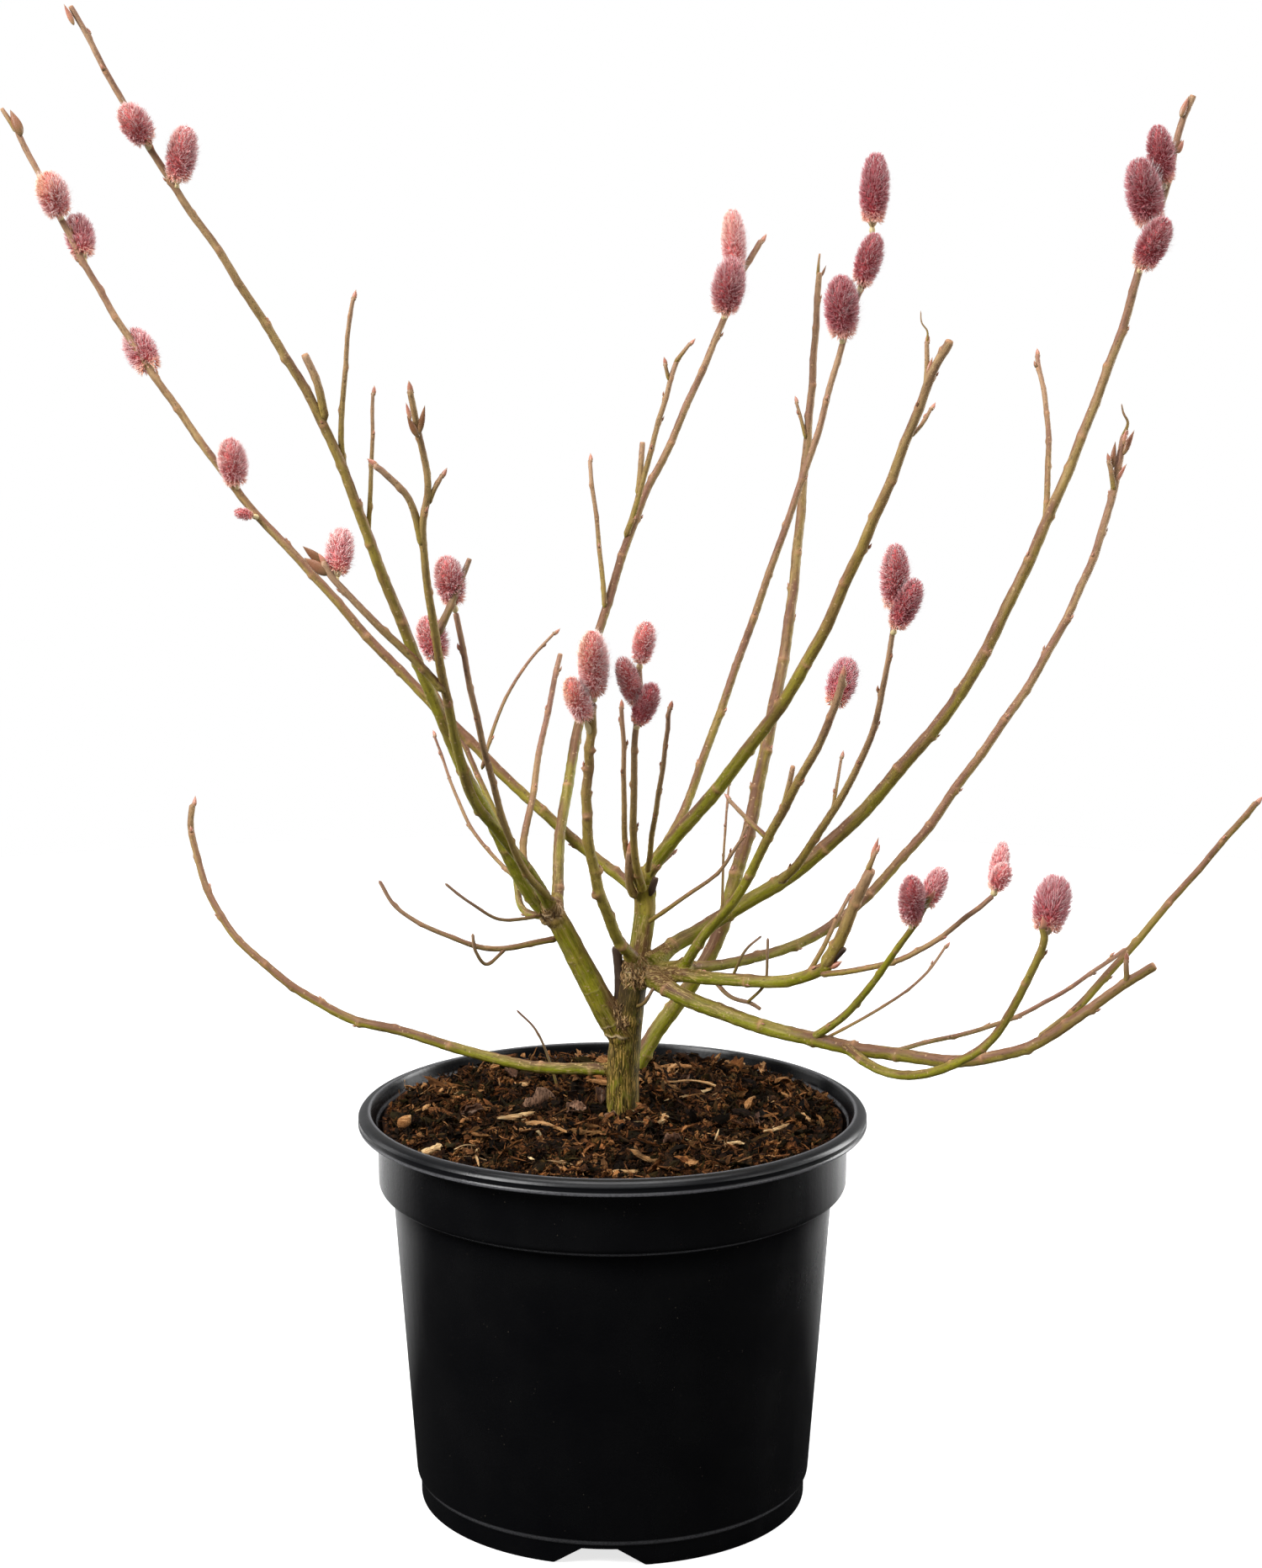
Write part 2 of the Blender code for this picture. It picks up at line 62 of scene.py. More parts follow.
SHOOTS = {
    "back_stem": (3.6, 1.2, [
        (3, 58, 122), (7, 60, 142), (17, 62, 163), (39, 66, 195), (53, 78, 238), (60, 88, 268),
        (71, 108, 322), (78, 126, 387), (81, 131, 424), (83, 134, 459)]),
    "far_left_shoot": (2.2, 1.1, [
        (11, 12, 230), (-9, 22, 244), (-34, 30, 265), (-58, 36, 288), (-89, 42, 319), (-115, 46, 348),
        (-140, 50, 375), (-167, 54, 412), (-185, 56, 439), (-200, 57, 465), (-216, 57, 498),
        (-223, 56, 513)]),
    "left_tall_shoot": (2.6, 0.9, [
        (-23, -8, 225), (-32, -14, 238), (-42, -24, 261), (-55, -36, 290), (-78, -58, 354),
        (-98, -72, 411), (-126, -82, 461), (-143, -86, 487), (-159, -90, 515), (-175, -93, 546)]),
    "mid_left_shoot": (2.2, 1.0, [
        (-22, -10, 228), (-30, -28, 247), (-41, -48, 266), (-49, -66, 282), (-53, -80, 301),
        (-58, -112, 342), (-61, -128, 377), (-59, -133, 396), (-64, -140, 425)]),
    "left_catkin_shoot": (1.4, 1.0, [
        (-22, -13, 232), (-32, -36, 250), (-39, -58, 274), (-47, -86, 317), (-52, -101, 350)]),
    "left_inner_shoot": (1.5, 1.0, [
        (-23, -4, 229), (-33, 8, 244), (-30, 22, 266), (-27, 32, 284), (-20, 48, 316)]),
    "left_bud_shoot": (1.5, 1.1, [(-56, -100, 323), (-68, -106, 337), (-89, -111, 359),
                                  (-95, -112, 368)]),
    "centre_tall_shoot": (2.2, 1.2, [
        (-21, -4, 227), (-19, 22, 256), (-11, 52, 298), (-5, 66, 323), (10, 90, 367), (21, 98, 389),
        (41, 108, 434), (50, 111, 457), (59, 113, 472)]),
    "centre_twig": (1.2, 1.0, [(5, 84, 357), (11, 84, 376), (17, 82, 399), (25, 79, 427)]),
    "front_dark_shoot": (2.3, 1.6, [(9, -3, 206), (-1, -20, 227), (-9, -32, 263), (-7, -43, 311)]),
    "front_catkin_shoot": (1.5, 1.0, [(11, 2, 234), (8, -12, 252), (8, -34, 296), (10, -42, 312),
                                      (9, -47, 325)]),
    "low_left_shoot": (2.3, 1.2, [
        (3, 0, 165), (-34, 4, 166), (-76, 14, 175), (-104, 22, 181), (-128, 30, 194), (-147, 38, 210),
        (-157, 45, 226), (-163, 51, 246), (-163, 53, 257)]),
    "mid_right_shoot": (2.8, 1.5, [
        (12, 8, 232), (15, 8, 242), (38, -2, 272), (67, -22, 317), (89, -42, 370), (97, -51, 392),
        (109, -65, 428), (114, -69, 438)]),
    "mid_tall_shoot": (1.7, 1.1, [
        (19, 8, 248), (28, 20, 263), (38, 34, 288), (58, 56, 340), (78, 66, 397), (85, 68, 423),
        (96, 66, 461), (98, 64, 474)]),
    "right_main_shoot": (3.1, 1.2, [
        (14, -2, 206), (23, 6, 212), (32, 10, 216), (49, 12, 226), (70, 10, 240), (91, 8, 260),
        (113, 4, 287), (133, 2, 316), (159, 4, 372), (183, 12, 433), (192, 16, 463), (200, 18, 488),
        (206, 20, 514), (210, 20, 523)]),
    "right_side_twig": (1.2, 0.9, [(158, 4, 370), (161, 24, 403), (158, 38, 430)]),
    "right_slim_shoot": (1.7, 0.9, [
        (62, 0, 237), (69, -12, 248), (79, -26, 268), (88, -40, 289), (93, -52, 309), (97, -68, 344)]),
    "right_inner_shoot": (2.0, 1.3, [
        (26, -8, 206), (33, -20, 221), (44, -32, 237), (52, -42, 255), (61, -56, 277), (74, -78, 309),
        (78, -86, 327)]),
    "right_low_limb": (2.6, 2.1, [(22, -6, 204), (41, -24, 206), (57, -36, 208), (71, -46, 213),
                                  (78, -52, 219)]),
    "cut_shoot": (2.4, 1.9, [(75, -50, 216), (82, -56, 232), (90, -63, 255)]),
    "right_low_twig": (1.1, 0.9, [(74, -50, 214), (93, -66, 221), (108, -80, 231), (129, -98, 253)]),
    "right_back_shoot": (2.1, 1.5, [
        (26, -2, 205), (46, 14, 203), (67, 30, 205), (89, 46, 213), (117, 64, 237), (141, 78, 266),
        (168, 92, 302), (189, 102, 341), (199, 108, 371), (204, 112, 396)]),
    "low_right_shoot": (3.2, 1.6, [
        (14, -6, 203), (33, -20, 195), (74, -48, 189), (116, -70, 188), (137, -80, 193), (153, -86, 202),
        (168, -90, 215), (185, -94, 228)]),
    "low_right_front_shoot": (1.8, 1.3, [
        (82, -54, 189), (94, -72, 185), (105, -86, 187), (118, -98, 195), (130, -108, 208),
        (142, -121, 239), (142, -124, 249)]),
    "low_right_slim_shoot": (0.9, 0.8, [
        (96, -58, 187), (116, -40, 187), (139, -26, 189), (162, -14, 196), (191, -2, 212)]),
    "low_right_tip_shoot": (1.5, 1.1, [(147, -85, 199), (166, -78, 214), (198, -62, 246),
                                       (227, -52, 277)]),
    "low_right_catkin_shoot": (1.5, 1.0, [
        (72, -47, 190), (84, -62, 204), (94, -80, 224), (102, -96, 242), (107, -104, 254)]),
}

# Thin side twigs, spurs and dead stubs, which have no solid of their own in the frame.
TWIGS = {
    "left_slim_shoot": (1.4, 0.9, [(-24, -2, 224), (-34, 6, 226), (-38, 16, 243), (-55, 38, 279),
                                   (-70, 52, 304)]),
    "front_left_twig": (1.2, 0.8, [(11, 4, 232), (5, -6, 251), (4, -22, 294), (3, -26, 307)]),
    "front_bud_twig": (1.1, 0.8, [(13, 4, 240), (15, -16, 262), (18, -36, 287), (20, -54, 311)]),
    "left_tall_twig_high": (1.1, 0.7, [(-91, -66, 392), (-92, -69, 403), (-91, -72, 417), (-88, -78, 444),
                                       (-86, -80, 453)]),
    "left_tall_twig_low": (0.9, 0.6, [(-84, -61, 372), (-82, -66, 397), (-81, -70, 421)]),
    "left_tall_stub": (1.5, 1.3, [(-97, -72, 411), (-99, -75, 423), (-103, -77, 434)]),
    "left_fan_twig": (0.7, 0.5, [(-45, -72, 292), (-42, -66, 303), (-37, -60, 315), (-30, -54, 326),
                                 (-20, -50, 337)]),
    "mid_left_fork": (1.3, 1.0, [(-61, -127, 374), (-65, -132, 390), (-72, -135, 398), (-76, -136, 401)]),
    "mid_left_side": (0.9, 0.7, [(-59, -131, 388), (-57, -132, 393), (-54, -133, 398)]),
    "mid_left_stub": (1.5, 0.9, [(-58, -112, 343), (-53, -108, 354), (-47, -104, 368)]),
    "centre_side_twig": (1.0, 0.8, [(-3, 69, 331), (-5, 74, 354), (-8, 78, 379), (-9, 80, 388)]),
    "centre_stub": (1.3, 1.1, [(10, 84, 373), (11, 86, 385), (12, 88, 394)]),
    "centre_fork": (0.8, 0.7, [(22, 80, 418), (20, 78, 425)]),
    "centre_red_tip": (0.9, 0.7, [(24, 79, 425), (30, 78, 433)]),
    "low_left_twig": (1.2, 0.7, [(-20, -6, 217), (-43, -14, 215), (-61, -18, 221), (-78, -20, 231),
                                 (-85, -20, 242)]),
    "low_left_hook": (0.7, 0.6, [(-39, -13, 215), (-46, -18, 210), (-50, -22, 216), (-51, -24, 223)]),
    "left_bow_twig": (0.9, 0.5, [(-27, 4, 226), (-34, 10, 234), (-49, 22, 247), (-58, 30, 261),
                                 (-68, 40, 286)]),
    "left_low_wisp": (0.7, 0.5, [(-26, -12, 227), (-33, -22, 228), (-42, -30, 230), (-51, -36, 237),
                                 (-60, -40, 245)]),
    "middle_side_twig": (0.9, 0.6, [(12, 4, 220), (22, -4, 229), (38, -14, 243), (46, -20, 256),
                                    (49, -22, 263)]),
    "right_upright_wisp": (0.6, 0.4, [(41, 10, 222), (42, 18, 246), (44, 26, 270)]),
    "right_inner_side": (1.0, 0.7, [(55, -48, 263), (48, -44, 269), (41, -40, 276)]),
    "right_inner_stub": (1.1, 0.9, [(60, -55, 275), (63, -60, 291)]),
    "right_slim_twig": (0.7, 0.5, [(79, -26, 267), (83, -20, 288)]),
    "low_right_wisp": (0.6, 0.5, [(75, -47, 189), (98, -40, 200), (113, -34, 210), (121, -30, 220)]),
    "cut_shoot_twin": (1.0, 0.7, [(70, -45, 213), (76, -44, 224), (85, -42, 242)]),
    "dead_spur": (1.3, 0.9, [(77, -51, 218), (82, -56, 225)]),
    "cut_shoot_bud": (1.1, 0.7, [(89, -63, 254), (92, -64, 262)]),
    "dangling_twig": (0.9, 0.7, [(36, -20, 206), (43, -26, 200), (50, -28, 198), (54, -29, 196)]),
    "dangling_hook": (0.6, 0.5, [(49, -28, 198), (55, -32, 206), (56, -34, 216), (56, -35, 224)]),
    "limb_spur": (0.6, 0.4, [(44, -26, 208), (48, -30, 218), (54, -32, 224)]),
    "knot_loop": (0.7, 0.6, [(9, -6, 191), (12, -11, 194), (15, -11, 199), (19, -6, 201)]),
    "mid_right_stalk": (1.0, 0.8, [(106, -62, 417), (107, -60, 428), (107, -60, 438)]),
    "mid_right_side": (0.8, 0.6, [(102, -57, 405), (106, -54, 409), (110, -52, 415)]),
    "low_right_stalk": (1.0, 0.9, [(176, -92, 221), (175, -94, 230)]),
    "back_stem_side": (0.8, 0.6, [(78, 126, 393), (74, 128, 408)]),
    "mid_right_spur": (0.7, 0.5, [(14, 8, 238), (23, 12, 246)]),
    "stock_stub": (2.5, 1.7, [(3, -1.5, 185), (2.5, -2, 200), (1.8, -2, 213)]),
    "middle_stub": (1.5, 1.2, [(14, 4, 231), (16, 4, 238)]),
    "soil_sprig": (0.6, 0.4, [(-20, 30, 146), (-28, 30, 170), (-37, 32, 180)]),
    "right_back_fork": (1.2, 0.9, [(200, 108, 373), (197, 106, 386)]),
    "far_left_end": (1.1, 0.8, [(-222, 56, 511), (-226, 56, 517), (-228, 56, 520)]),
    "right_back_wisp": (0.8, 0.3, [(203, 112, 394), (205, 111, 400), (203, 110, 404), (202, 109, 408)]),
    "mid_right_wisp": (0.4, 0.2, [(107, -60, 437), (107, -60, 441), (105, -60, 444), (104.6, -60, 448)]),
    "middle_bud_spur": (1.6, 1.3, [(8.5, 4, 230), (6.2, 0, 236), (5.8, -4, 243), (6.5, -8, 250.5)]),
    "back_splinter": (0.75, 0.40, [(82.5, 134, 457), (82.7, 134, 462), (83.1, 134, 466.5)]),
}

# Large buds that stand out: foot, point, width, tone from 0 (pink) to 1 (dark brown)
LARGE_BUDS = [
    ((-221.0, 55, 511.0), (-224.5, 55, 519.6), 4.2, 0.80),
    ((-174.2, -94.5, 540.5), (-176.9, -95, 546.5), 1.9, 0.05),
    ((-61.6, -139, 410.6), (-64.8, -140, 416.9), 2.5, 0.95),
    ((-61.0, -139, 411.8), (-59.1, -140, 420.3), 2.2, 0.95),
    ((-63.7, -141, 416.2), (-65.0, -141.5, 421.2), 1.5, 0.0),
    ((205.3, 18, 516.0), (207.9, 18.5, 522.9), 2.5, 0.35),
    ((204.6, 17.5, 503.0), (206.4, 17.5, 507.4), 2.1, 0.10),
    ((198.9, 108, 383.2), (199.8, 108, 393.2), 2.6, 0.80),
    ((203.7, 109, 388.6), (207.4, 109, 397.6), 2.7, 0.70),
    ((200.1, 108, 377.0), (204.6, 108, 384.3), 2.5, 0.15),
    ((203.0, 107, 392.4), (203.9, 107, 398.2), 1.9, 0.0),
    ((107.3, -61, 426.6), (108.8, -61, 432.4), 2.1, 0.50),
    ((-93.6, -112, 364.2), (-100.8, -113, 369.3), 4.2, 0.75),
    ((-95.4, -111, 367.8), (-101.3, -112, 373.0), 3.2, 0.90),
    ((6.4, -8, 249.2), (7.2, -9, 256.0), 2.8, 0.12), ((84.0, 134, 457.6), (85.9, 134, 462.0), 1.2, 0.95),
    ((90.7, -63.5, 258.5), (92.8, -64, 266.6), 2.3, 0.0),
]

# Catkins in order: (shoot, place along it, tip, width, darkness 0 to 1, peach patch 0 to 1)
CATKINS = [
    ("far_left_shoot", 0.90, (-210, 46, 496), 12, 0.25, 1.0),
    ("far_left_shoot", 0.85, (-203, 64, 481), 11, 0.65, 0.1),
    ("far_left_shoot", 0.72, (-183, 62, 438), 12, 0.60, 0.1),
    ("far_left_shoot", 0.58, (-144, 42, 398), 11, 0.42, 0.2),
    ("left_bud_shoot", 0.87, (-89, -103, 378), 9.4, 0.45, 0.2),
    ("left_tall_shoot", 0.86, (-158, -98, 514), 10, 0.45, 0.2),
    ("left_tall_shoot", 0.82, (-139, -92, 508), 10, 0.45, 0.2),
    ("left_catkin_shoot", 1.00, (-55, -109, 369), 10, 0.45, 0.2),
    ("mid_left_shoot", 0.59, (-62, -105, 349), 10, 0.45, 0.1),
    ("front_dark_shoot", 0.89, (-15, -54, 321), 9, 0.0, 1.0),
    ("front_dark_shoot", 1.00, (-7, -60, 338), 11, 0.0, 0.7),
    ("front_catkin_shoot", 0.82, (3, -53, 328), 8.0, 0.38, 0.1),
    ("front_catkin_shoot", 0.98, (12, -57, 341), 8.2, 0.25, 0.3),
    ("front_catkin_shoot", 0.74, (14, -51, 318), 8.6, 0.72, 0.0),
    ("centre_tall_shoot", 0.93, (47, 110, 484), 10, 0.25, 0.5),
    ("centre_tall_shoot", 0.88, (47, 98, 464), 12.8, 0.62, 0.0),
    ("mid_tall_shoot", 1.00, (99, 61, 504), 11, 1.05, 0.0),
    ("mid_tall_shoot", 0.91, (99, 56, 474), 10, 0.75, 0.0),
    ("mid_tall_shoot", 0.83, (86, 56, 458), 13, 0.85, 0.0),
    ("right_main_shoot", 0.91, (195, 9, 512), 10, 0.85, 0.0),
    ("right_main_shoot", 0.87, (188, 5, 500), 13, 0.92, 0.0),
    ("right_main_shoot", 0.83, (198, 2, 479), 11, 0.75, 0.0),
    ("right_slim_shoot", 1.00, (96, -75, 370), 10, 0.65, 0.1),
    ("right_slim_shoot", 0.95, (103, -79, 358), 9, 0.70, 0.0),
    ("right_inner_shoot", 0.90, (81, -71, 330), 10, 0.85, 0.0),
    ("low_right_catkin_shoot", 0.82, (100, -110, 262), 9, 0.60, 0.0),
    ("low_right_catkin_shoot", 0.92, (112, -94, 262), 8, 0.50, 0.0),
    ("right_low_twig", 1.00, (133, -89, 270), 7, 0.35, 0.1),
    ("right_low_twig", 1.00, (132, -104, 265), 7, 0.35, 0.1),
    ("low_right_front_shoot", 0.95, (148, -114, 263), 12, 0.82, 0.0),
]
# Catkins whose fur starts farther from the wood than the rest: number, distance
STALKS = {10: 8.0, 31: 4.2}
# A stunted catkin, too small for a solid of its own
DRIED_CATKIN = ("far_left_shoot", 0.545, (-142, 40, 371), 4.8, 0.40, 0.0)


# ---- small geometry tools ----------------------------------------------------------

def unit(v):
    """The vector or vectors at length 1."""
    return v / np.maximum(np.linalg.norm(v, axis=-1, keepdims=True), 1e-12)


def circle(steps):
    """Angles evenly round a circle."""
    return np.arange(steps) * 2 * math.pi / steps


def smooth_route(route, spacing):
    """Reads a Catmull-Rom curve through the route's points (mm) every spacing mm, in metres."""
    points = np.array(route, float)
    padded = np.vstack([2 * points[0] - points[1], points, 2 * points[-1] - points[-2]])
    result = []
    for a, b, c, d in zip(padded, padded[1:], padded[2:], padded[3:]):
        steps = max(1, round(np.linalg.norm(c - b) / spacing))
        t = (np.arange(steps) / steps)[:, None]
        result.append(0.5 * (2 * b + (c - a) * t + (2 * a - 5 * b + 4 * c - d) * t ** 2
                             + (3 * b - a - 3 * c + d) * t ** 3))
    result.append(points[-1:])
    return np.vstack(result) * MM


class Axis:
    """A smooth centre line with the distance along it and a frame at every point that doesn't twist."""

    def __init__(self, points):
        self.points = points
        steps = np.linalg.norm(np.diff(points, axis=0), axis=1)
        self.along = np.concatenate([[0.0], np.cumsum(steps)])
        self.length = self.along[-1]
        self.tangent = unit(np.gradient(points, axis=0))
        start = np.cross(self.tangent[0], (0.31, -0.9, 0.2))
        side = [unit(start)]
        for tangent in self.tangent[1:]:
            last = side[-1]
            side.append(unit(last - tangent * np.dot(last, tangent)))
        self.side = np.array(side)
        self.up = np.cross(self.tangent, self.side)

    def at(self, distance):
        """Point, tangent, side and up at a distance along the line."""
        rows = [np.array([np.interp(distance, self.along, column) for column in table.T])
                for table in (self.points, self.tangent, self.side, self.up)]
        return rows[0], unit(rows[1]), unit(rows[2]), unit(rows[3])


def looks(first, second=0.0, third=0.0):
    """Three values per point for the materials; a single number holds for every point."""
    return np.stack(np.broadcast_arrays(first, second, third), -1)


def store_values(mesh, **tables):
    """Writes per-point vectors into the mesh under the names the materials read."""
    for label, rows in tables.items():
        layer = mesh.attributes.new(label, "FLOAT_VECTOR", "POINT")
        layer.data.foreach_set("vector", rows.astype(np.float32).ravel())


def link(thing):
    """Puts an object into the scene."""
    bpy.context.scene.collection.objects.link(thing)


def with_modifiers(thing):
    """The object's mesh after its modifiers; the object itself is removed."""
    evaluated = thing.evaluated_get(bpy.context.evaluated_depsgraph_get())
    mesh = bpy.data.meshes.new_from_object(evaluated)
    bpy.data.objects.remove(thing)
    return mesh


class Batch:
    """Collects many small meshes into one object. look and rod are per-point values for the materials."""

    def __init__(self):
        self.verts = []
        self.faces = []
        self.look = []
        self.rod = []
        self.count = 0

    def add(self, verts, faces, look, rod=None):
        verts = np.asarray(verts, float).reshape(-1, 3)
        self.verts.append(verts)
        for face_set in faces:
            self.faces.extend((np.asarray(face_set) + self.count).tolist())
        self.look.append(np.broadcast_to(np.asarray(look, float), verts.shape))
        self.rod.append(verts if rod is None else rod)
        self.count += len(verts)

    def mesh(self, name):
        """The collected meshes as one, without materials."""
        mesh = bpy.data.meshes.new(name)
        mesh.from_pydata(np.vstack(self.verts).tolist(), [], self.faces)
        return mesh

    def build(self, name, material, replaces=(), smooth=True):
        """Makes the finished piece."""
        mesh = self.mesh(name)
        store_values(mesh, look=np.vstack(self.look), rod=np.vstack(self.rod))
        if smooth:
            mesh.shade_smooth()
        place(bpy.data.objects.new(name, mesh), material, replaces)


def place(thing, material, replaces=()):
    """Links a finished piece and tells the frame what it is."""
    thing.data.materials.clear()
    thing.data.materials.append(material)
    link(thing)
    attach(thing, BODY)
    if replaces:
        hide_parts(*replaces)


def grid_faces(rows, columns, wrap=True):
    """Quads of a grid of rows x columns points; wrap joins the last column to the first."""
    r = np.arange(rows - 1)[:, None]
    c = np.arange(columns if wrap else columns - 1)[None, :]
    after = (c + 1) % columns
    quads = np.stack([r * columns + c, r * columns + after, (r + 1) * columns + after,
                      (r + 1) * columns + c], -1)
    return quads.reshape(-1, 4)


def fans(rows, columns):
    """Triangles that close the first and last ring with the two points stored after the grid."""
    c = np.arange(columns)
    after = (c + 1) % columns
    first = rows * columns
    last_ring = (rows - 1) * columns
    start = np.stack([after, c, np.full(columns, first)], -1)
    end = np.stack([last_ring + c, last_ring + after, np.full(columns, first + 1)], -1)
    return np.vstack([start, end])


def blob(centre, along, across, length, width, depth, point=1.0, bend=0.0, rows=7, columns=8):
    """A closed egg or scale: along is its long axis, across its width; point > 1 sharpens its far end."""
    along = unit(np.asarray(along, float))
    across = unit(across - along * np.dot(across, along))
    out = np.cross(along, across)
    t = np.linspace(0.04, 0.985, rows)[:, None]
    angle = circle(columns)
    swell = np.sin(math.pi * t ** 0.8) ** 0.75 * (1 - t ** 2 * 0.5) ** point
    arch = bend * length * (t - t ** 2) * 4
    ring = (along * ((t - 0.5) * length)[..., None]
            + across * (swell * np.cos(angle) * width / 2)[..., None]
            + out * (swell * np.sin(angle) * depth / 2 + arch)[..., None])
    ends = np.array([-0.5 * along * length, 0.5 * along * length])
    verts = np.vstack([ring.reshape(-1, 3), ends]) + centre
    share = np.concatenate([np.repeat(t[:, 0], columns), [0.0, 1.0]])
    return verts, [grid_faces(rows, columns), fans(rows, columns)], share


# ---- material tools ----------------------------------------------------------------

class Shader:
    """A Principled material and short ways to wire nodes into it."""

    def __init__(self, name):
        self.material = bpy.data.materials.new(name)
        self.material.use_nodes = True
        self.tree = self.material.node_tree
        self.principled = self.tree.nodes["Principled BSDF"]

    def wire(self, value, socket):
        if isinstance(value, bpy.types.NodeSocket):
            self.tree.links.new(value, socket)
        else:
            socket.default_value = value

    def node(self, kind, inputs=(), output=0, **settings):
        made = self.tree.nodes.new("ShaderNode" + kind)
        for key, value in settings.items():
            setattr(made, key, value)
        for key, value in dict(inputs).items():
            self.wire(value, made.inputs[key])
        return made.outputs[output]

    def attribute(self, label):
        """The three values of a point attribute, and the vector itself."""
        vector = self.node("Attribute", output=1, attribute_name=label, attribute_type="GEOMETRY")
        return *self.split(vector), vector

    def split(self, vector):
        """X, Y and Z of a vector."""
        made = self.tree.nodes.new("ShaderNodeSeparateXYZ")
        self.tree.links.new(vector, made.inputs[0])
        return tuple(made.outputs)

    def maths(self, operation, a, b=0.0, clamp=False):
        return self.node("Math", {0: a, 1: b}, operation=operation, use_clamp=clamp)

    def times(self, a, b, clamp=False):
        return self.maths("MULTIPLY", a, b, clamp)

    def plus(self, a, b, clamp=False):
        return self.maths("ADD", a, b, clamp)

    def stretch(self, vector, scale):
        return self.node("VectorMath", {0: vector, 1: scale}, operation="MULTIPLY")

    def noise(self, vector, scale, detail=4.0, roughness=0.55):
        return self.node("TexNoise", {"Vector": vector, "Scale": scale, "Detail": detail,
                                      "Roughness": roughness})

    def ramp(self, value, stops):
        made = self.tree.nodes.new("ShaderNodeValToRGB")
        elements = made.color_ramp.elements
        while len(elements) < len(stops):
            elements.new(0.5)
        for element, (position, colour) in zip(elements, stops):
            element.position = position
            element.color = (*colour, 1.0)
        self.wire(value, made.inputs[0])
        return made.outputs[0]

    def window(self, value, low, high, to_low=0.0, to_high=1.0):
        return self.node("MapRange", {"Value": value, "From Min": low, "From Max": high, "To Min": to_low,
                                      "To Max": to_high})

    def mix(self, share, a, b, blend="MIX"):
        made = self.tree.nodes.new("ShaderNodeMix")
        made.data_type = "RGBA"
        made.blend_type = blend
        self.wire(share, made.inputs[0])
        for value, socket in ((a, made.inputs[6]), (b, made.inputs[7])):
            self.wire((*value, 1.0) if isinstance(value, tuple) else value, socket)
        return made.outputs[2]

    def bump(self, height, strength, distance):
        return self.node("Bump", {"Height": height, "Strength": strength, "Distance": distance})

    def finish(self, colour, roughness, normal=None, **sockets):
        self.wire(colour, self.principled.inputs["Base Color"])
        self.wire(roughness, self.principled.inputs["Roughness"])
        if normal is not None:
            self.wire(normal, self.principled.inputs["Normal"])
        for key, value in sockets.items():
            self.principled.inputs[key.replace("_", " ")].default_value = value
        return self.material


def threads(s, rod, scale, detail, wide, thin):
    """Pale lines where a stretched noise crosses its middle value; wide and thin are their soft edge."""
    web = s.noise(s.stretch(rod, scale), 1.0, detail)
    return s.window(s.maths("ABSOLUTE", s.maths("SUBTRACT", web, 0.5)), wide, thin)


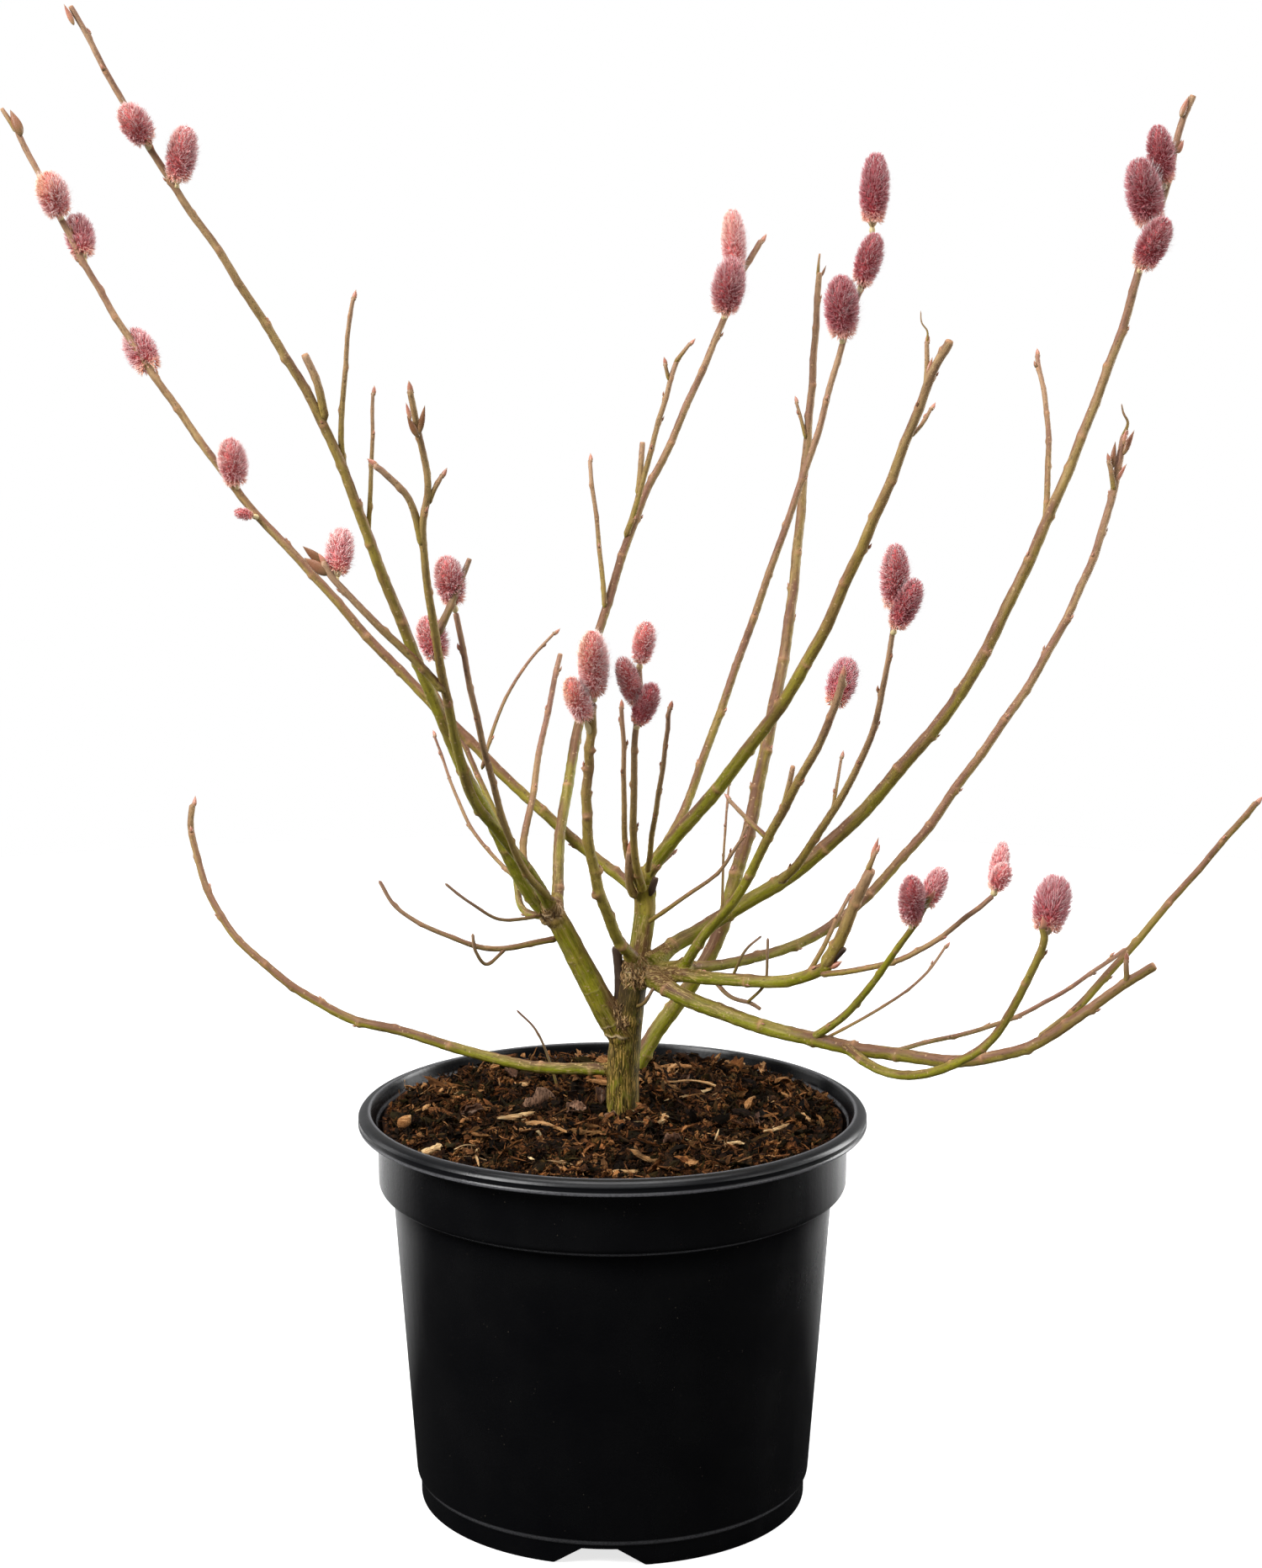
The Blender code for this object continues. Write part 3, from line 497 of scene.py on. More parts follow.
def bark_material(name, fissured=False):
    """Green bark, red-brown on top and tan near the tips; old wood has pale wavy fissures."""
    s = Shader(name)
    age, scar, dead_wood_and_shade, _ = s.attribute("look")
    rod = s.attribute("rod")[3]
    streaks = s.noise(s.stretch(rod, (700, 700, 60)), 1.0, 4.0)
    patches = s.noise(s.stretch(rod, (110, 110, 26)), 1.0, 3.0)
    grain = s.noise(s.stretch(rod, (1700, 1700, 800)), 1.0, 3.0)
    mottle = s.noise(s.stretch(rod, (460, 460, 170)), 1.0, 5.0, 0.62)
    facing_up = s.split(s.tree.nodes.new("ShaderNodeNewGeometry").outputs["Normal"])[2]
    sunned = s.window(facing_up, -0.10, 0.50, 0.0, 0.95)
    green = s.ramp(age, [
        (0.00, (0.165, 0.186, 0.004)), (0.30, (0.225, 0.205, 0.010)), (0.55, (0.265, 0.185, 0.040)),
        (0.80, (0.330, 0.205, 0.105)), (1.00, (0.420, 0.260, 0.165))])
    brown = s.ramp(age, [
        (0.00, (0.100, 0.048, 0.016)), (0.45, (0.170, 0.078, 0.040)), (1.00, (0.260, 0.130, 0.088))])
    tanned = s.plus(sunned, s.window(patches, 0.40, 0.60, -0.50, 0.50), clamp=True)
    colour = s.mix(tanned, green, brown)
    colour = s.mix(s.window(mottle, 0.50, 0.72, 0.0, 0.50), colour, (0.072, 0.040, 0.017))
    colour = s.mix(s.window(streaks, 0.50, 0.75, 0.0, 0.55), colour, (0.42, 0.34, 0.28), "MULTIPLY")
    colour = s.mix(s.window(streaks, 0.47, 0.30, 0.0, 0.32), colour, (0.43, 0.31, 0.14))
    thread = threads(s, rod, (800, 800, 90), 3.0, 0.030, 0.008)
    thread = s.times(thread, s.window(age, 0.24, 0.06, 0.0, 0.80))
    colour = s.mix(thread, colour, (0.42, 0.30, 0.11))
    pores = s.node("TexVoronoi", {"Vector": s.stretch(rod, (330, 330, 480)), "Scale": 1.0,
                                  "Randomness": 1.0})
    colour = s.mix(s.window(pores, 0.19, 0.11, 0.0, 0.6), colour, (0.42, 0.28, 0.145))
    colour = s.mix(s.window(grain, 0.58, 0.72, 0.0, 0.7), colour, (0.050, 0.028, 0.014))
    colour = s.mix(s.times(scar, 0.80, clamp=True), colour, (0.36, 0.185, 0.090))
    # Dark brown of dead wood; on the trunk this value also carries painted shade on the stock's right
    # side
    colour = s.mix(dead_wood_and_shade, colour, (0.030, 0.018, 0.012))
    height = s.plus(s.times(mottle, 0.9), s.times(grain, -0.3))
    if fissured:
        wave, strength, fibre, _ = s.attribute("marks")
        thread = threads(s, rod, (1100, 1100, 150), 2.0, 0.024, 0.007)
        crack = s.maths("MAXIMUM", s.window(wave, 0.50, 0.72), s.times(thread, 0.85))
        crack = s.times(crack, strength, clamp=True)
        seam = s.times(s.window(wave, -0.02, -0.34, 0.0, 0.90), strength, clamp=True)
        colour = s.mix(s.times(strength, 0.82), colour, (0.060, 0.036, 0.005))
        colour = s.mix(seam, colour, (0.012, 0.007, 0.002))
        colour = s.mix(crack, colour, (0.42, 0.260, 0.068))
        pale = s.times(fibre, s.window(grain, 0.35, 0.60, 1.0, 0.35), clamp=True)
        colour = s.mix(pale, colour, (0.56, 0.42, 0.25))
    normal = s.bump(height, 0.7, 0.0005)
    rough = s.window(mottle, 0.3, 0.7, 0.48, 0.68)
    return s.finish(colour, rough, normal, Specular_IOR_Level=0.12 if fissured else 0.24)


def fibre_material():
    """Torn bark fibres: pale tan, some weathered to grey-brown."""
    s = Shader("torn_fibres")
    dead_wood_and_shade = s.attribute("look")[2]
    grain = s.noise(s.stretch(s.attribute("rod")[3], (1500, 1500, 500)), 1.0, 4.0)
    colour = s.ramp(grain, [(0.30, (0.10, 0.050, 0.018)), (0.50, (0.36, 0.215, 0.088)),
                            (0.70, (0.60, 0.42, 0.21))])
    colour = s.mix(dead_wood_and_shade, colour, (0.050, 0.027, 0.013))
    return s.finish(colour, 0.8, s.bump(grain, 0.5, 0.0003), Specular_IOR_Level=0.12)


def bud_material():
    """Bud scales: green-brown at the foot, glossy red-brown in the middle, paler at the point."""
    s = Shader("bud_scales")
    along, tint, _, _ = s.attribute("look")
    rod = s.attribute("rod")[3]
    grain = s.noise(rod, 1800.0)
    shifted = s.plus(along, s.window(grain, 0.3, 0.7, -0.12, 0.12), clamp=True)
    red = s.ramp(shifted, [
        (0.0, (0.30, 0.20, 0.09)), (0.35, (0.43, 0.20, 0.120)), (0.75, (0.45, 0.165, 0.115)),
        (1.0, (0.50, 0.33, 0.21))])
    brown = s.ramp(shifted, [(0.0, (0.17, 0.11, 0.045)), (0.5, (0.17, 0.070, 0.026)),
                             (1.0, (0.26, 0.13, 0.065))])
    colour = s.mix(tint, red, brown)
    return s.finish(colour, 0.38, s.bump(grain, 0.3, 0.0002), Specular_IOR_Level=0.5)


def fur_material():
    """Catkin bristles: crimson at the root, rose along the shaft, pale or maroon at the tip."""
    s = Shader("catkin_bristles")
    along, dark, peach, _ = s.attribute("look")
    rose = s.ramp(along, [
        (0.0, (0.76, 0.190, 0.180)), (0.35, (0.89, 0.390, 0.370)), (0.70, (0.95, 0.640, 0.610)),
        (1.0, (0.98, 0.87, 0.84))])
    maroon = s.ramp(along, [
        (0.0, (0.38, 0.040, 0.052)), (0.40, (0.52, 0.110, 0.132)), (0.72, (0.66, 0.275, 0.290)),
        (0.90, (0.38, 0.140, 0.160)), (1.0, (0.16, 0.040, 0.055))])
    warm = s.ramp(along, [
        (0.0, (0.80, 0.270, 0.180)), (0.5, (0.93, 0.480, 0.290)), (1.0, (0.97, 0.72, 0.56))])
    colour = s.mix(peach, s.mix(dark, rose, maroon), warm)
    return s.finish(colour, 0.6, None, Specular_IOR_Level=0.3, Sheen_Weight=0.2, Sheen_Roughness=0.4)


def silver_material():
    """The fine silky hairs round a catkin."""
    s = Shader("catkin_silk")
    along = s.attribute("look")[0]
    colour = s.ramp(along, [(0.0, (0.70, 0.50, 0.48)), (0.5, (0.84, 0.76, 0.74)),
                            (1.0, (0.93, 0.91, 0.90))])
    return s.finish(colour, 0.45, None, Specular_IOR_Level=0.4, Sheen_Weight=0.3)


def bract_material():
    """Cream to yellow-green papery scales at the foot of a catkin."""
    s = Shader("catkin_bracts")
    along, tint, _, _ = s.attribute("look")
    veins = s.noise(s.stretch(s.attribute("rod")[3], (2500, 2500, 800)), 1.0)
    cream = s.ramp(along, [(0.0, (0.52, 0.44, 0.18)), (0.5, (0.78, 0.62, 0.42)),
                           (1.0, (0.72, 0.40, 0.33))])
    husk = s.ramp(along, [(0.0, (0.30, 0.20, 0.08)), (0.6, (0.36, 0.18, 0.08)),
                          (1.0, (0.16, 0.08, 0.04))])
    colour = s.mix(s.window(veins, 0.35, 0.65, 0.0, 0.35), s.mix(tint, cream, husk), (0.40, 0.27, 0.12))
    return s.finish(colour, 0.55, s.bump(veins, 0.3, 0.0002))


# Height and width, in metres, of the painted highlight lines along the pot's edges
PAINTED_HIGHLIGHT_EDGES = [(0.1464, 0.0009), (0.1216, 0.0012), (0.0092, 0.0012)]


def pot_material():
    """Black moulded plastic: satin, greyer on the rim as a painted highlight, with painted highlight
    lines along its edges, dusty, matt inside.
    """
    s = Shader("pot_black")
    where = s.node("TexCoord", output=3)
    height = s.split(where)[2]
    radius = s.node("VectorMath", {0: s.stretch(where, (1, 1, 0))}, output=1, operation="LENGTH")
    cloud = s.noise(where, 34.0, 5.0)
    flow = s.noise(s.stretch(where, (70, 70, 6)), 1.0, 4.0)
    dust = s.node("TexVoronoi", {"Vector": where, "Scale": 420.0, "Randomness": 1.0})
    sparse = s.window(s.noise(where, 95.0, 2.0), 0.56, 0.66)
    specks = s.times(s.window(dust, 0.11, 0.05), sparse)
    colour = s.mix(s.window(cloud, 0.3, 0.75), (0.0016, 0.0017, 0.0022), (0.0030, 0.0030, 0.0034))
    colour = s.mix(s.times(specks, 0.25), colour, (0.20, 0.16, 0.12))
    rim = s.times(s.window(height, 0.1455, 0.1475), s.window(radius, 0.0902, 0.0914))
    inside = s.times(s.window(height, 0.110, 0.120), s.window(radius, 0.0908, 0.0900))
    above_step = s.plus(s.window(height, 0.1442, 0.1444), s.window(radius, 0.0879, 0.0875))
    inside = s.times(inside, above_step, clamp=True)
    # Painted highlights: pale lines along the lip's lower edge, the collar's lower edge, the foot and the
    # rim's inner edge, broken up by noise
    edges = [s.window(s.maths("ABSOLUTE", s.maths("SUBTRACT", height, middle)), width, 0.3 * width)
             for middle, width in PAINTED_HIGHLIGHT_EDGES]
    edges.append(s.times(s.window(radius, 0.0921, 0.0913), s.window(height, 0.1508, 0.1513)))
    painted_edge_highlight = edges[0]
    for edge in edges[1:]:
        painted_edge_highlight = s.maths("MAXIMUM", painted_edge_highlight, edge)
    painted_edge_highlight = s.times(painted_edge_highlight, s.window(s.noise(where, 1400.0, 4.0), 0.25, 0.60, 0.35, 1.0))
    # Painted highlight: the rim gets a slightly greyer colour than the rest of the pot
    colour = s.mix(rim, colour, (0.0040, 0.0042, 0.0050))
    colour = s.mix(s.times(painted_edge_highlight, 0.55), colour, (0.17, 0.17, 0.18))
    gloss = s.maths("SUBTRACT", s.window(inside, 0.0, 1.0, 0.42, 0.06), s.times(rim, 0.16), clamp=True)
    s.wire(gloss, s.principled.inputs["Specular IOR Level"])
    rough = s.plus(s.window(cloud, 0.3, 0.7, 0.19, 0.29), s.window(flow, 0.3, 0.7, -0.03, 0.05))
    rough = s.plus(rough, s.times(rim, 0.07))
    grain = s.noise(where, 900.0, 3.0)
    normal = s.bump(s.plus(grain, s.times(flow, 3.0)), 0.10, 0.0004)
    return s.finish(colour, rough, normal)


def mulch_material(name, lift):
    """Composted bark: near-black to red-brown, olive and tan, set per chip, with a fibrous grain."""
    s = Shader(name)
    shade, red, olive, _ = s.attribute("look")
    rod = s.attribute("rod")[3]
    where = s.node("TexCoord", output=3)
    fibres = s.noise(s.stretch(rod, (260, 2300, 2300)), 1.0, 5.0, 0.65)
    clumps = s.noise(where, 130.0, 3.0)
    value = s.plus(shade, s.window(fibres, 0.3, 0.7, -0.22, 0.22), clamp=True)
    colour = s.ramp(value, [
        (0.00, (0.001, 0.001, 0.001)), (0.22, (0.014, 0.005, 0.002)), (0.46, (0.110, 0.042, 0.014)),
        (0.68, (0.300, 0.138, 0.050)), (0.86, (0.430, 0.255, 0.115)), (1.00, (0.700, 0.510, 0.270))])
    colour = s.mix(s.times(red, s.window(value, 0.2, 0.6, 0.0, 0.6)), colour, (0.27, 0.080, 0.020))
    colour = s.mix(s.times(olive, 0.20), colour, (0.105, 0.078, 0.018))
    colour = s.mix(s.window(clumps, 0.42, 0.66, 0.0, lift), colour, (0.006, 0.004, 0.003))
    return s.finish(colour, 0.85, s.bump(fibres, 0.7, 0.0006), Specular_IOR_Level=0.05)


def leaf_material():
    """Dead leaves: grey-mauve and brown, papery."""
    s = Shader("dead_leaves")
    shade, across, _, _ = s.attribute("look")
    veins = s.noise(s.stretch(s.attribute("rod")[3], (1500, 500, 700)), 1.0, 4.0)
    colour = s.ramp(shade, [(0.0, (0.030, 0.013, 0.006)), (0.5, (0.100, 0.044, 0.023)),
                            (1.0, (0.24, 0.135, 0.083))])
    colour = s.mix(s.window(veins, 0.42, 0.60, 0.0, 0.8), colour, (0.030, 0.015, 0.009))
    colour = s.mix(s.window(across, 0.10, 0.0, 0.0, 0.5), colour, (0.36, 0.25, 0.18))
    return s.finish(colour, 0.8, s.bump(veins, 0.6, 0.0006), Specular_IOR_Level=0.12)


BARK = bark_material("shoot_bark")
OLD_BARK = bark_material("trunk_bark", fissured=True)
BUD = bud_material()
FIBRE = fibre_material()
FUR = fur_material()
SILK = silver_material()
BRACT = bract_material()
POT = pot_material()
MULCH = mulch_material("mulch_chips", 0.75)
GROUND = mulch_material("mulch_ground", 0.95)
LEAF = leaf_material()


# ---- wood --------------------------------------------------------------------------

RING_STEP = 0.8          # distance between the rings of a shoot, mm
SIDES = 14
BUD_GAP = 19.0           # distance between buds on a thick shoot, mm
SHOOT_FLARE = 0.35       # how much a shoot widens at its foot
TWIG_FLARE = 0.25
# Shoots whose nodes are unusually swollen and zigzag
KNOBBY = {"front_dark_shoot": 2.2, "front_catkin_shoot": 1.4, "cut_shoot": 1.3, "right_inner_shoot": 1.3}
# Wood that has died back and turned dark brown
DEAD = {"stock_stub": 0.92, "middle_stub": 0.85, "dead_spur": 0.97, "mid_left_stub": 0.3,
        "dangling_twig": 0.35,
        "dangling_hook": 0.35, "limb_spur": 0.4, "knot_loop": 0.45, "soil_sprig": 0.5,
        "low_left_twig": 0.15,
        "low_left_hook": 0.2, "left_low_wisp": 0.2, "right_back_wisp": 0.1, "mid_right_wisp": 0.1}


def node_places(axis, rng, gap):
    """Distances and angles of the buds' nodes, closer together towards the tip."""
    places = []
    distance = gap * MM * rng.uniform(0.5, 0.9)
    angle = rng.uniform(0, 2 * math.pi)
    while distance < axis.length - 2.5 * MM:
        places.append((distance, angle))
        share = distance / axis.length
        distance += gap * MM * (1.15 - 0.55 * share) * rng.uniform(0.8, 1.2)
        angle += LEAF_TURN + rng.uniform(-0.25, 0.25)
    return places


def kinked(points, places, radius, knobs, rng):
    """Shifts the line a little at each node, because shoots change direction where a bud grows."""
    axis = Axis(points)
    marks = np.array([0.0] + [p[0] for p in places] + [axis.length])
    zigzag = np.where(np.arange(len(marks)) % 2, 1, -1)
    swing = rng.uniform(0.10, 0.28, len(marks)) * radius * min(knobs, 1.3) * zigzag
    swing[0] = 0.0
    offset = np.interp(axis.along, marks, swing)
    return Axis(points + axis.side * offset[:, None])


def wood_mesh(axis, base_r, tip_r, places, rng, flare, ages, tip, knobs, dead_wood_and_shade, sides=SIDES):
    """The bark of one shoot: a tapering tube with node rings, leaf cushions and ripples."""
    s = axis.along[:, None]
    angle = circle(sides)[None, :]
    share = s / axis.length
    radius = base_r + (tip_r - base_r) * share
    radius = radius * (1 + flare * np.exp(-s / (1.5 * base_r))) * np.clip(0.25 + 0.5 * s / base_r, 0, 1)
    scar = np.zeros((len(s), sides))
    bulge = np.zeros_like(scar)
    local = radius + 0 * angle
    for distance, turn in places:
        ring = np.exp(-((s - distance) / (0.7 * MM + 0.25 * tip_r)) ** 2)
        away = np.angle(np.exp(1j * (angle - turn)))
        cushion = np.exp(-((s - distance + 0.5 * MM) / (1.1 * MM)) ** 2) * np.exp(-(away / 0.75) ** 2)
        near_bud = 0.25 + 0.75 * np.exp(-(away / 1.5) ** 2)
        swollen = ring * near_bud * (0.06 * local + 0.03 * MM)
        bulge += knobs * (swollen + cushion * (0.16 * local + 0.20 * MM))
        thin_ring = np.exp(-((s - distance + 0.3 * MM * np.cos(away)) / (0.30 * MM)) ** 2)
        scar += 0.60 * thin_ring * near_bud + min(1.2, 0.7 * knobs) * cushion
    ripple = np.zeros_like(scar)
    for size in (0.020, 0.014, 0.010, 0.008, 0.006):
        around = rng.integers(0, 4)
        pitch = rng.uniform(0.25, 1.9) / MM
        ripple += size * np.sin(angle * around + s * pitch + rng.uniform(0, 6.3))
    local = local * (1 + ripple) + bulge
    if tip == "round":
        left = np.clip((axis.length - s) / (1.1 * tip_r), 0, 1)
        local = local * np.sqrt(np.clip(1 - (1 - left) ** 2, 0.02, 1))
    else:
        left = np.clip((axis.length - s) / (0.35 * MM), 0, 1)
        local = local * (0.86 + 0.14 * left)
        scar += 1.2 * (1 - left)
    direction = (axis.side[:, None, :] * np.cos(angle)[..., None]
                 + axis.up[:, None, :] * np.sin(angle)[..., None])
    surface = axis.points[:, None, :] + direction * local[..., None]
    rod = np.stack([local * np.cos(angle), local * np.sin(angle), s + 0 * angle], -1)
    age = ages[0] + (ages[1] - ages[0]) * share + 0 * angle
    look = looks(age, np.clip(scar, 0, 1), dead_wood_and_shade)
    ends = np.array([axis.points[0], axis.points[-1] + axis.tangent[-1] * 0.1 * MM])
    end_looks = np.array([[ages[0], 0, dead_wood_and_shade], [ages[1], 1.0 if tip == "cut" else 0.3, 0.6 * dead_wood_and_shade]])
    end_rods = np.array([[0, 0, 0], [0, 0, axis.length]])
    rows = len(axis.points)
    return (np.vstack([surface.reshape(-1, 3), ends]), [grid_faces(rows, sides), fans(rows, sides)],
            np.vstack([look.reshape(-1, 3), end_looks]), np.vstack([rod.reshape(-1, 3), end_rods]))


def add_bud(batch, axis, distance, angle, radius, length, width, lean, tint, sharp=1.5):
    """One pointed bud with its scale, pressed against the wood above its node."""
    point, tangent, side, up = axis.at(distance)
    out = side * math.cos(angle) + up * math.sin(angle)
    across = np.cross(tangent, out)
    aim = unit(tangent + out * lean)
    centre = point + out * (radius + 0.12 * width) + aim * length * 0.42
    verts, faces, share = blob(centre, aim, across, length, width, width * 0.8, point=sharp, bend=-0.05,
                               rows=11, columns=12)
    batch.add(verts, faces, looks(share, tint))
    husk = point + out * (radius + 0.05 * width) + aim * length * 0.16
    verts, faces, share = blob(husk, aim, across, length * 0.5, width * 1.25, width * 0.9, rows=5)
    batch.add(verts, faces, looks(share * 0.3, min(1, tint + 0.4)))


# Ages run from 0, old green wood, to 1, last year's tan growth.
AGES = {
    "back_stem": (0.10, 0.85), "far_left_shoot": (0.30, 0.95), "left_tall_shoot": (0.10, 0.95),
    "mid_left_shoot": (0.15, 0.75), "centre_tall_shoot": (0.10, 0.95), "front_dark_shoot": (0.35, 0.65),
    "low_left_shoot": (0.00, 0.75), "mid_right_shoot": (0.10, 0.80), "mid_tall_shoot": (0.35, 1.00),
    "right_main_shoot": (0.15, 0.90), "right_back_shoot": (0.25, 0.90), "right_inner_shoot": (0.05, 0.85),
    "right_low_limb": (0.00, 0.30), "low_right_shoot": (0.05, 0.60),
    "low_right_front_shoot": (0.10, 0.50),
    "low_right_tip_shoot": (0.30, 0.60), "low_right_catkin_shoot": (0.10, 0.45),
    "cut_shoot": (0.40, 0.85),
    "left_slim_shoot": (0.05, 0.60), "stock_stub": (0.9, 1.0),
}
CUT_TIPS = {"mid_right_shoot", "back_stem", "left_tall_stub", "centre_stub", "stock_stub", "middle_stub",
            "mid_left_stub", "cut_shoot", "dangling_twig", "left_inner_shoot", "low_right_shoot",
            "right_inner_stub", "dead_spur", "far_left_shoot", "far_left_end", "left_tall_shoot",
            "right_main_shoot", "middle_bud_spur", "back_splinter"}
CATKIN_TIPS = {entry[0] for entry in CATKINS if entry[1] >= 0.98}
AXES = {}                # filled by make_wood: name: (axis, base radius, tip radius), metres


def make_wood():
    """Every shoot and side twig, each with its own buds."""
    table = {**SHOOTS, **TWIGS}
    for number, (name, (base_r, tip_r, route)) in enumerate(table.items()):
        rng = np.random.default_rng(1000 + number)
        base_r, tip_r = base_r * MM, tip_r * MM
        points = smooth_route(route, RING_STEP)
        knobs = KNOBBY.get(name, 1.0)
        gap = (BUD_GAP if base_r > 1.3 * MM else 0.7 * BUD_GAP) / max(1.0, 0.75 * knobs)
        places = node_places(Axis(points), rng, gap)
        axis = kinked(points, places, tip_r, knobs, rng)
        AXES[name] = (axis, base_r, tip_r)
        tip = "cut" if name in CUT_TIPS else "round"
        ages = AGES.get(name, (0.45, 0.95))
        wood = Batch()
        flare = SHOOT_FLARE if name in SHOOTS else TWIG_FLARE
        wood.add(*wood_mesh(axis, base_r, tip_r, places, rng, flare, ages, tip, knobs,
                            DEAD.get(name, 0.0)))
        wood.build("bark_" + name, BARK, (name,) if name in SHOOTS else ())
        make_buds(name, axis, base_r, tip_r, places, tip, rng)


def make_buds(name, axis, base_r, tip_r, places, tip, rng):
    """Buds at some of a shoot's nodes, and one at a tip that is not cut, dead or a catkin's."""
    buds = Batch()
    for distance, angle in places:
        share = distance / axis.length
        radius = base_r + (tip_r - base_r) * share
        if rng.uniform() > 0.25 + 0.5 * share or name in DEAD:
            continue
        length = rng.uniform(1.5, 2.7) * MM * (0.75 + 0.5 * share)
        width = length * rng.uniform(0.42, 0.55)
        lean = rng.uniform(0.08, 0.28)
        add_bud(buds, axis, distance + 0.3 * MM, angle, radius, length, width, lean,
                rng.uniform(0.1, 0.8))
    if tip == "round" and name not in CATKIN_TIPS and name not in DEAD:
        length = (2.4 + 2.2 * tip_r / MM) * MM
        add_bud(buds, axis, axis.length - 0.30 * length, 0.7, 0.1 * tip_r, length, 0.46 * length, 0.1,
                rng.uniform(0.0, 0.4), sharp=0.9)
    if buds.count:
        buds.build("buds_" + name, BUD)


def make_large_buds():
    """The buds and opened bud scales that stand out at the ends of shoots."""
    buds = Batch()
    for foot, point, width, tone in LARGE_BUDS:
        foot = np.array(foot) * MM
        point = np.array(point) * MM
        foot = foot - 0.12 * (point - foot)
        length = np.linalg.norm(point - foot)
        aim = (point - foot) / length
        across = np.cross(aim, (0.0, -1.0, 0.2))
        verts, faces, share = blob((foot + point) / 2, aim, across, length, width * MM, 0.75 * width * MM,
                                   point=0.9, bend=0.06, rows=15, columns=16)
        buds.add(verts, faces, looks(share, tone))
    buds.build("buds_large", BUD)


# ---- trunk -------------------------------------------------------------------------

TRUNK_VOXEL = 0.31       # mm
FUSE_RELAX = 0.6
FUSE_RELAX_STEPS = 16
COLLAR_REACH = 5.0       # length of shoot fused into the trunk, in its own radii
COLLAR_SWELL = (1.42, 0.80)
FISSURES_ROUND = 34      # pale fissures counted once round the stock
KNOT = (8.5, -5.0, 203.5)
KNOT_R = 5.2
KNOT_SQUASH = (0.92, 0.9, 0.95)
LEFT_KNUCKLE = (-23.0, -9.0, 229.0)
TORN_R = 7.0             # reach of the torn bark round the left knuckle
LIMB_RINGS = (8, 23, 37) # faint rings along the left limb
RING_HEIGHT = 179.3      # pale scar round the foot of the left limb
# Torn bark between the left limb and the stock
TORN_SEAM = [(1.5, -5.0, 189.5), (3.3, -6.0, 184.5)]
# Swollen places: centre and radius
KNUCKLES = [
    ((9, -1, 204), 6.2), ((12, -2, 203), 5.0), ((-21, -8, 226), 4.6), ((-24, -9, 229), 4.0),
    ((12, 8, 232), 4.7),
    ((11, 8, 237), 4.0), ((26, -6, 206), 3.8), ((19, -5, 203), 3.8), ((6, -1, 186), 5.6),
]
# Shoots whose foot is fused into the trunk's skin
TRUNK_BEARS = ["left_tall_shoot", "mid_left_shoot", "left_catkin_shoot", "left_inner_shoot",
               "centre_tall_shoot",
               "front_dark_shoot", "front_catkin_shoot", "low_left_shoot", "mid_right_shoot",
               "far_left_shoot",
               "right_main_shoot", "right_inner_shoot", "right_back_shoot", "right_low_limb",
               "low_right_shoot"]


def plain_tube(batch, points, radii, sides=20):
    """A smooth tube with the given radius at every point."""
    axis = Axis(points)
    angle = circle(sides)[None, :, None]
    ring = axis.side[:, None, :] * np.cos(angle) + axis.up[:, None, :] * np.sin(angle)
    surface = axis.points[:, None, :] + ring * np.asarray(radii)[:, None, None]
    ends = np.array([axis.points[0], axis.points[-1]])
    rows = len(axis.points)
    batch.add(np.vstack([surface.reshape(-1, 3), ends]), [grid_faces(rows, sides), fans(rows, sides)],
              (0, 0, 0))
    return axis


def make_trunk():
    """Stock, limbs, knuckles and the first few millimetres of each shoot, fused into one skin."""
    rough = Batch()
    axes = []
    for base_r, tip_r, route in TRUNK_LIMBS.values():
        points = smooth_route(route, 2.0)
        radii = np.linspace(base_r, tip_r, len(points)) * MM
        axes.append(plain_tube(rough, points, radii))
    for centre, radius in KNUCKLES:
        verts, faces, _ = blob(np.array(centre) * MM, (0, 0, 1), np.array((1.0, 0, 0)), 2.3 * radius * MM,
                               2 * radius * MM, 2 * radius * MM, point=0.3, rows=12, columns=16)
        rough.add(verts, faces, (0, 0, 0))
    for name in TRUNK_BEARS:
        axis, base_r, _ = AXES[name]
        count = int(np.searchsorted(axis.along, COLLAR_REACH * base_r))
        radii = np.linspace(*COLLAR_SWELL, count) * base_r
        plain_tube(rough, axis.points[:count:2], radii[::2])
    thing = bpy.data.objects.new("trunk_rough", rough.mesh("trunk_rough"))
    link(thing)
    remesh = thing.modifiers.new("Fuse", "REMESH")
    remesh.mode = "VOXEL"
    remesh.voxel_size = TRUNK_VOXEL * MM
    relax = thing.modifiers.new("Relax", "SMOOTH")
    relax.factor = FUSE_RELAX
    relax.iterations = FUSE_RELAX_STEPS
    carve_trunk(with_modifiers(thing), axes)


def bell(value, width):
    """1 at zero, falling off over width."""
    return math.exp(-(value / width) ** 2)


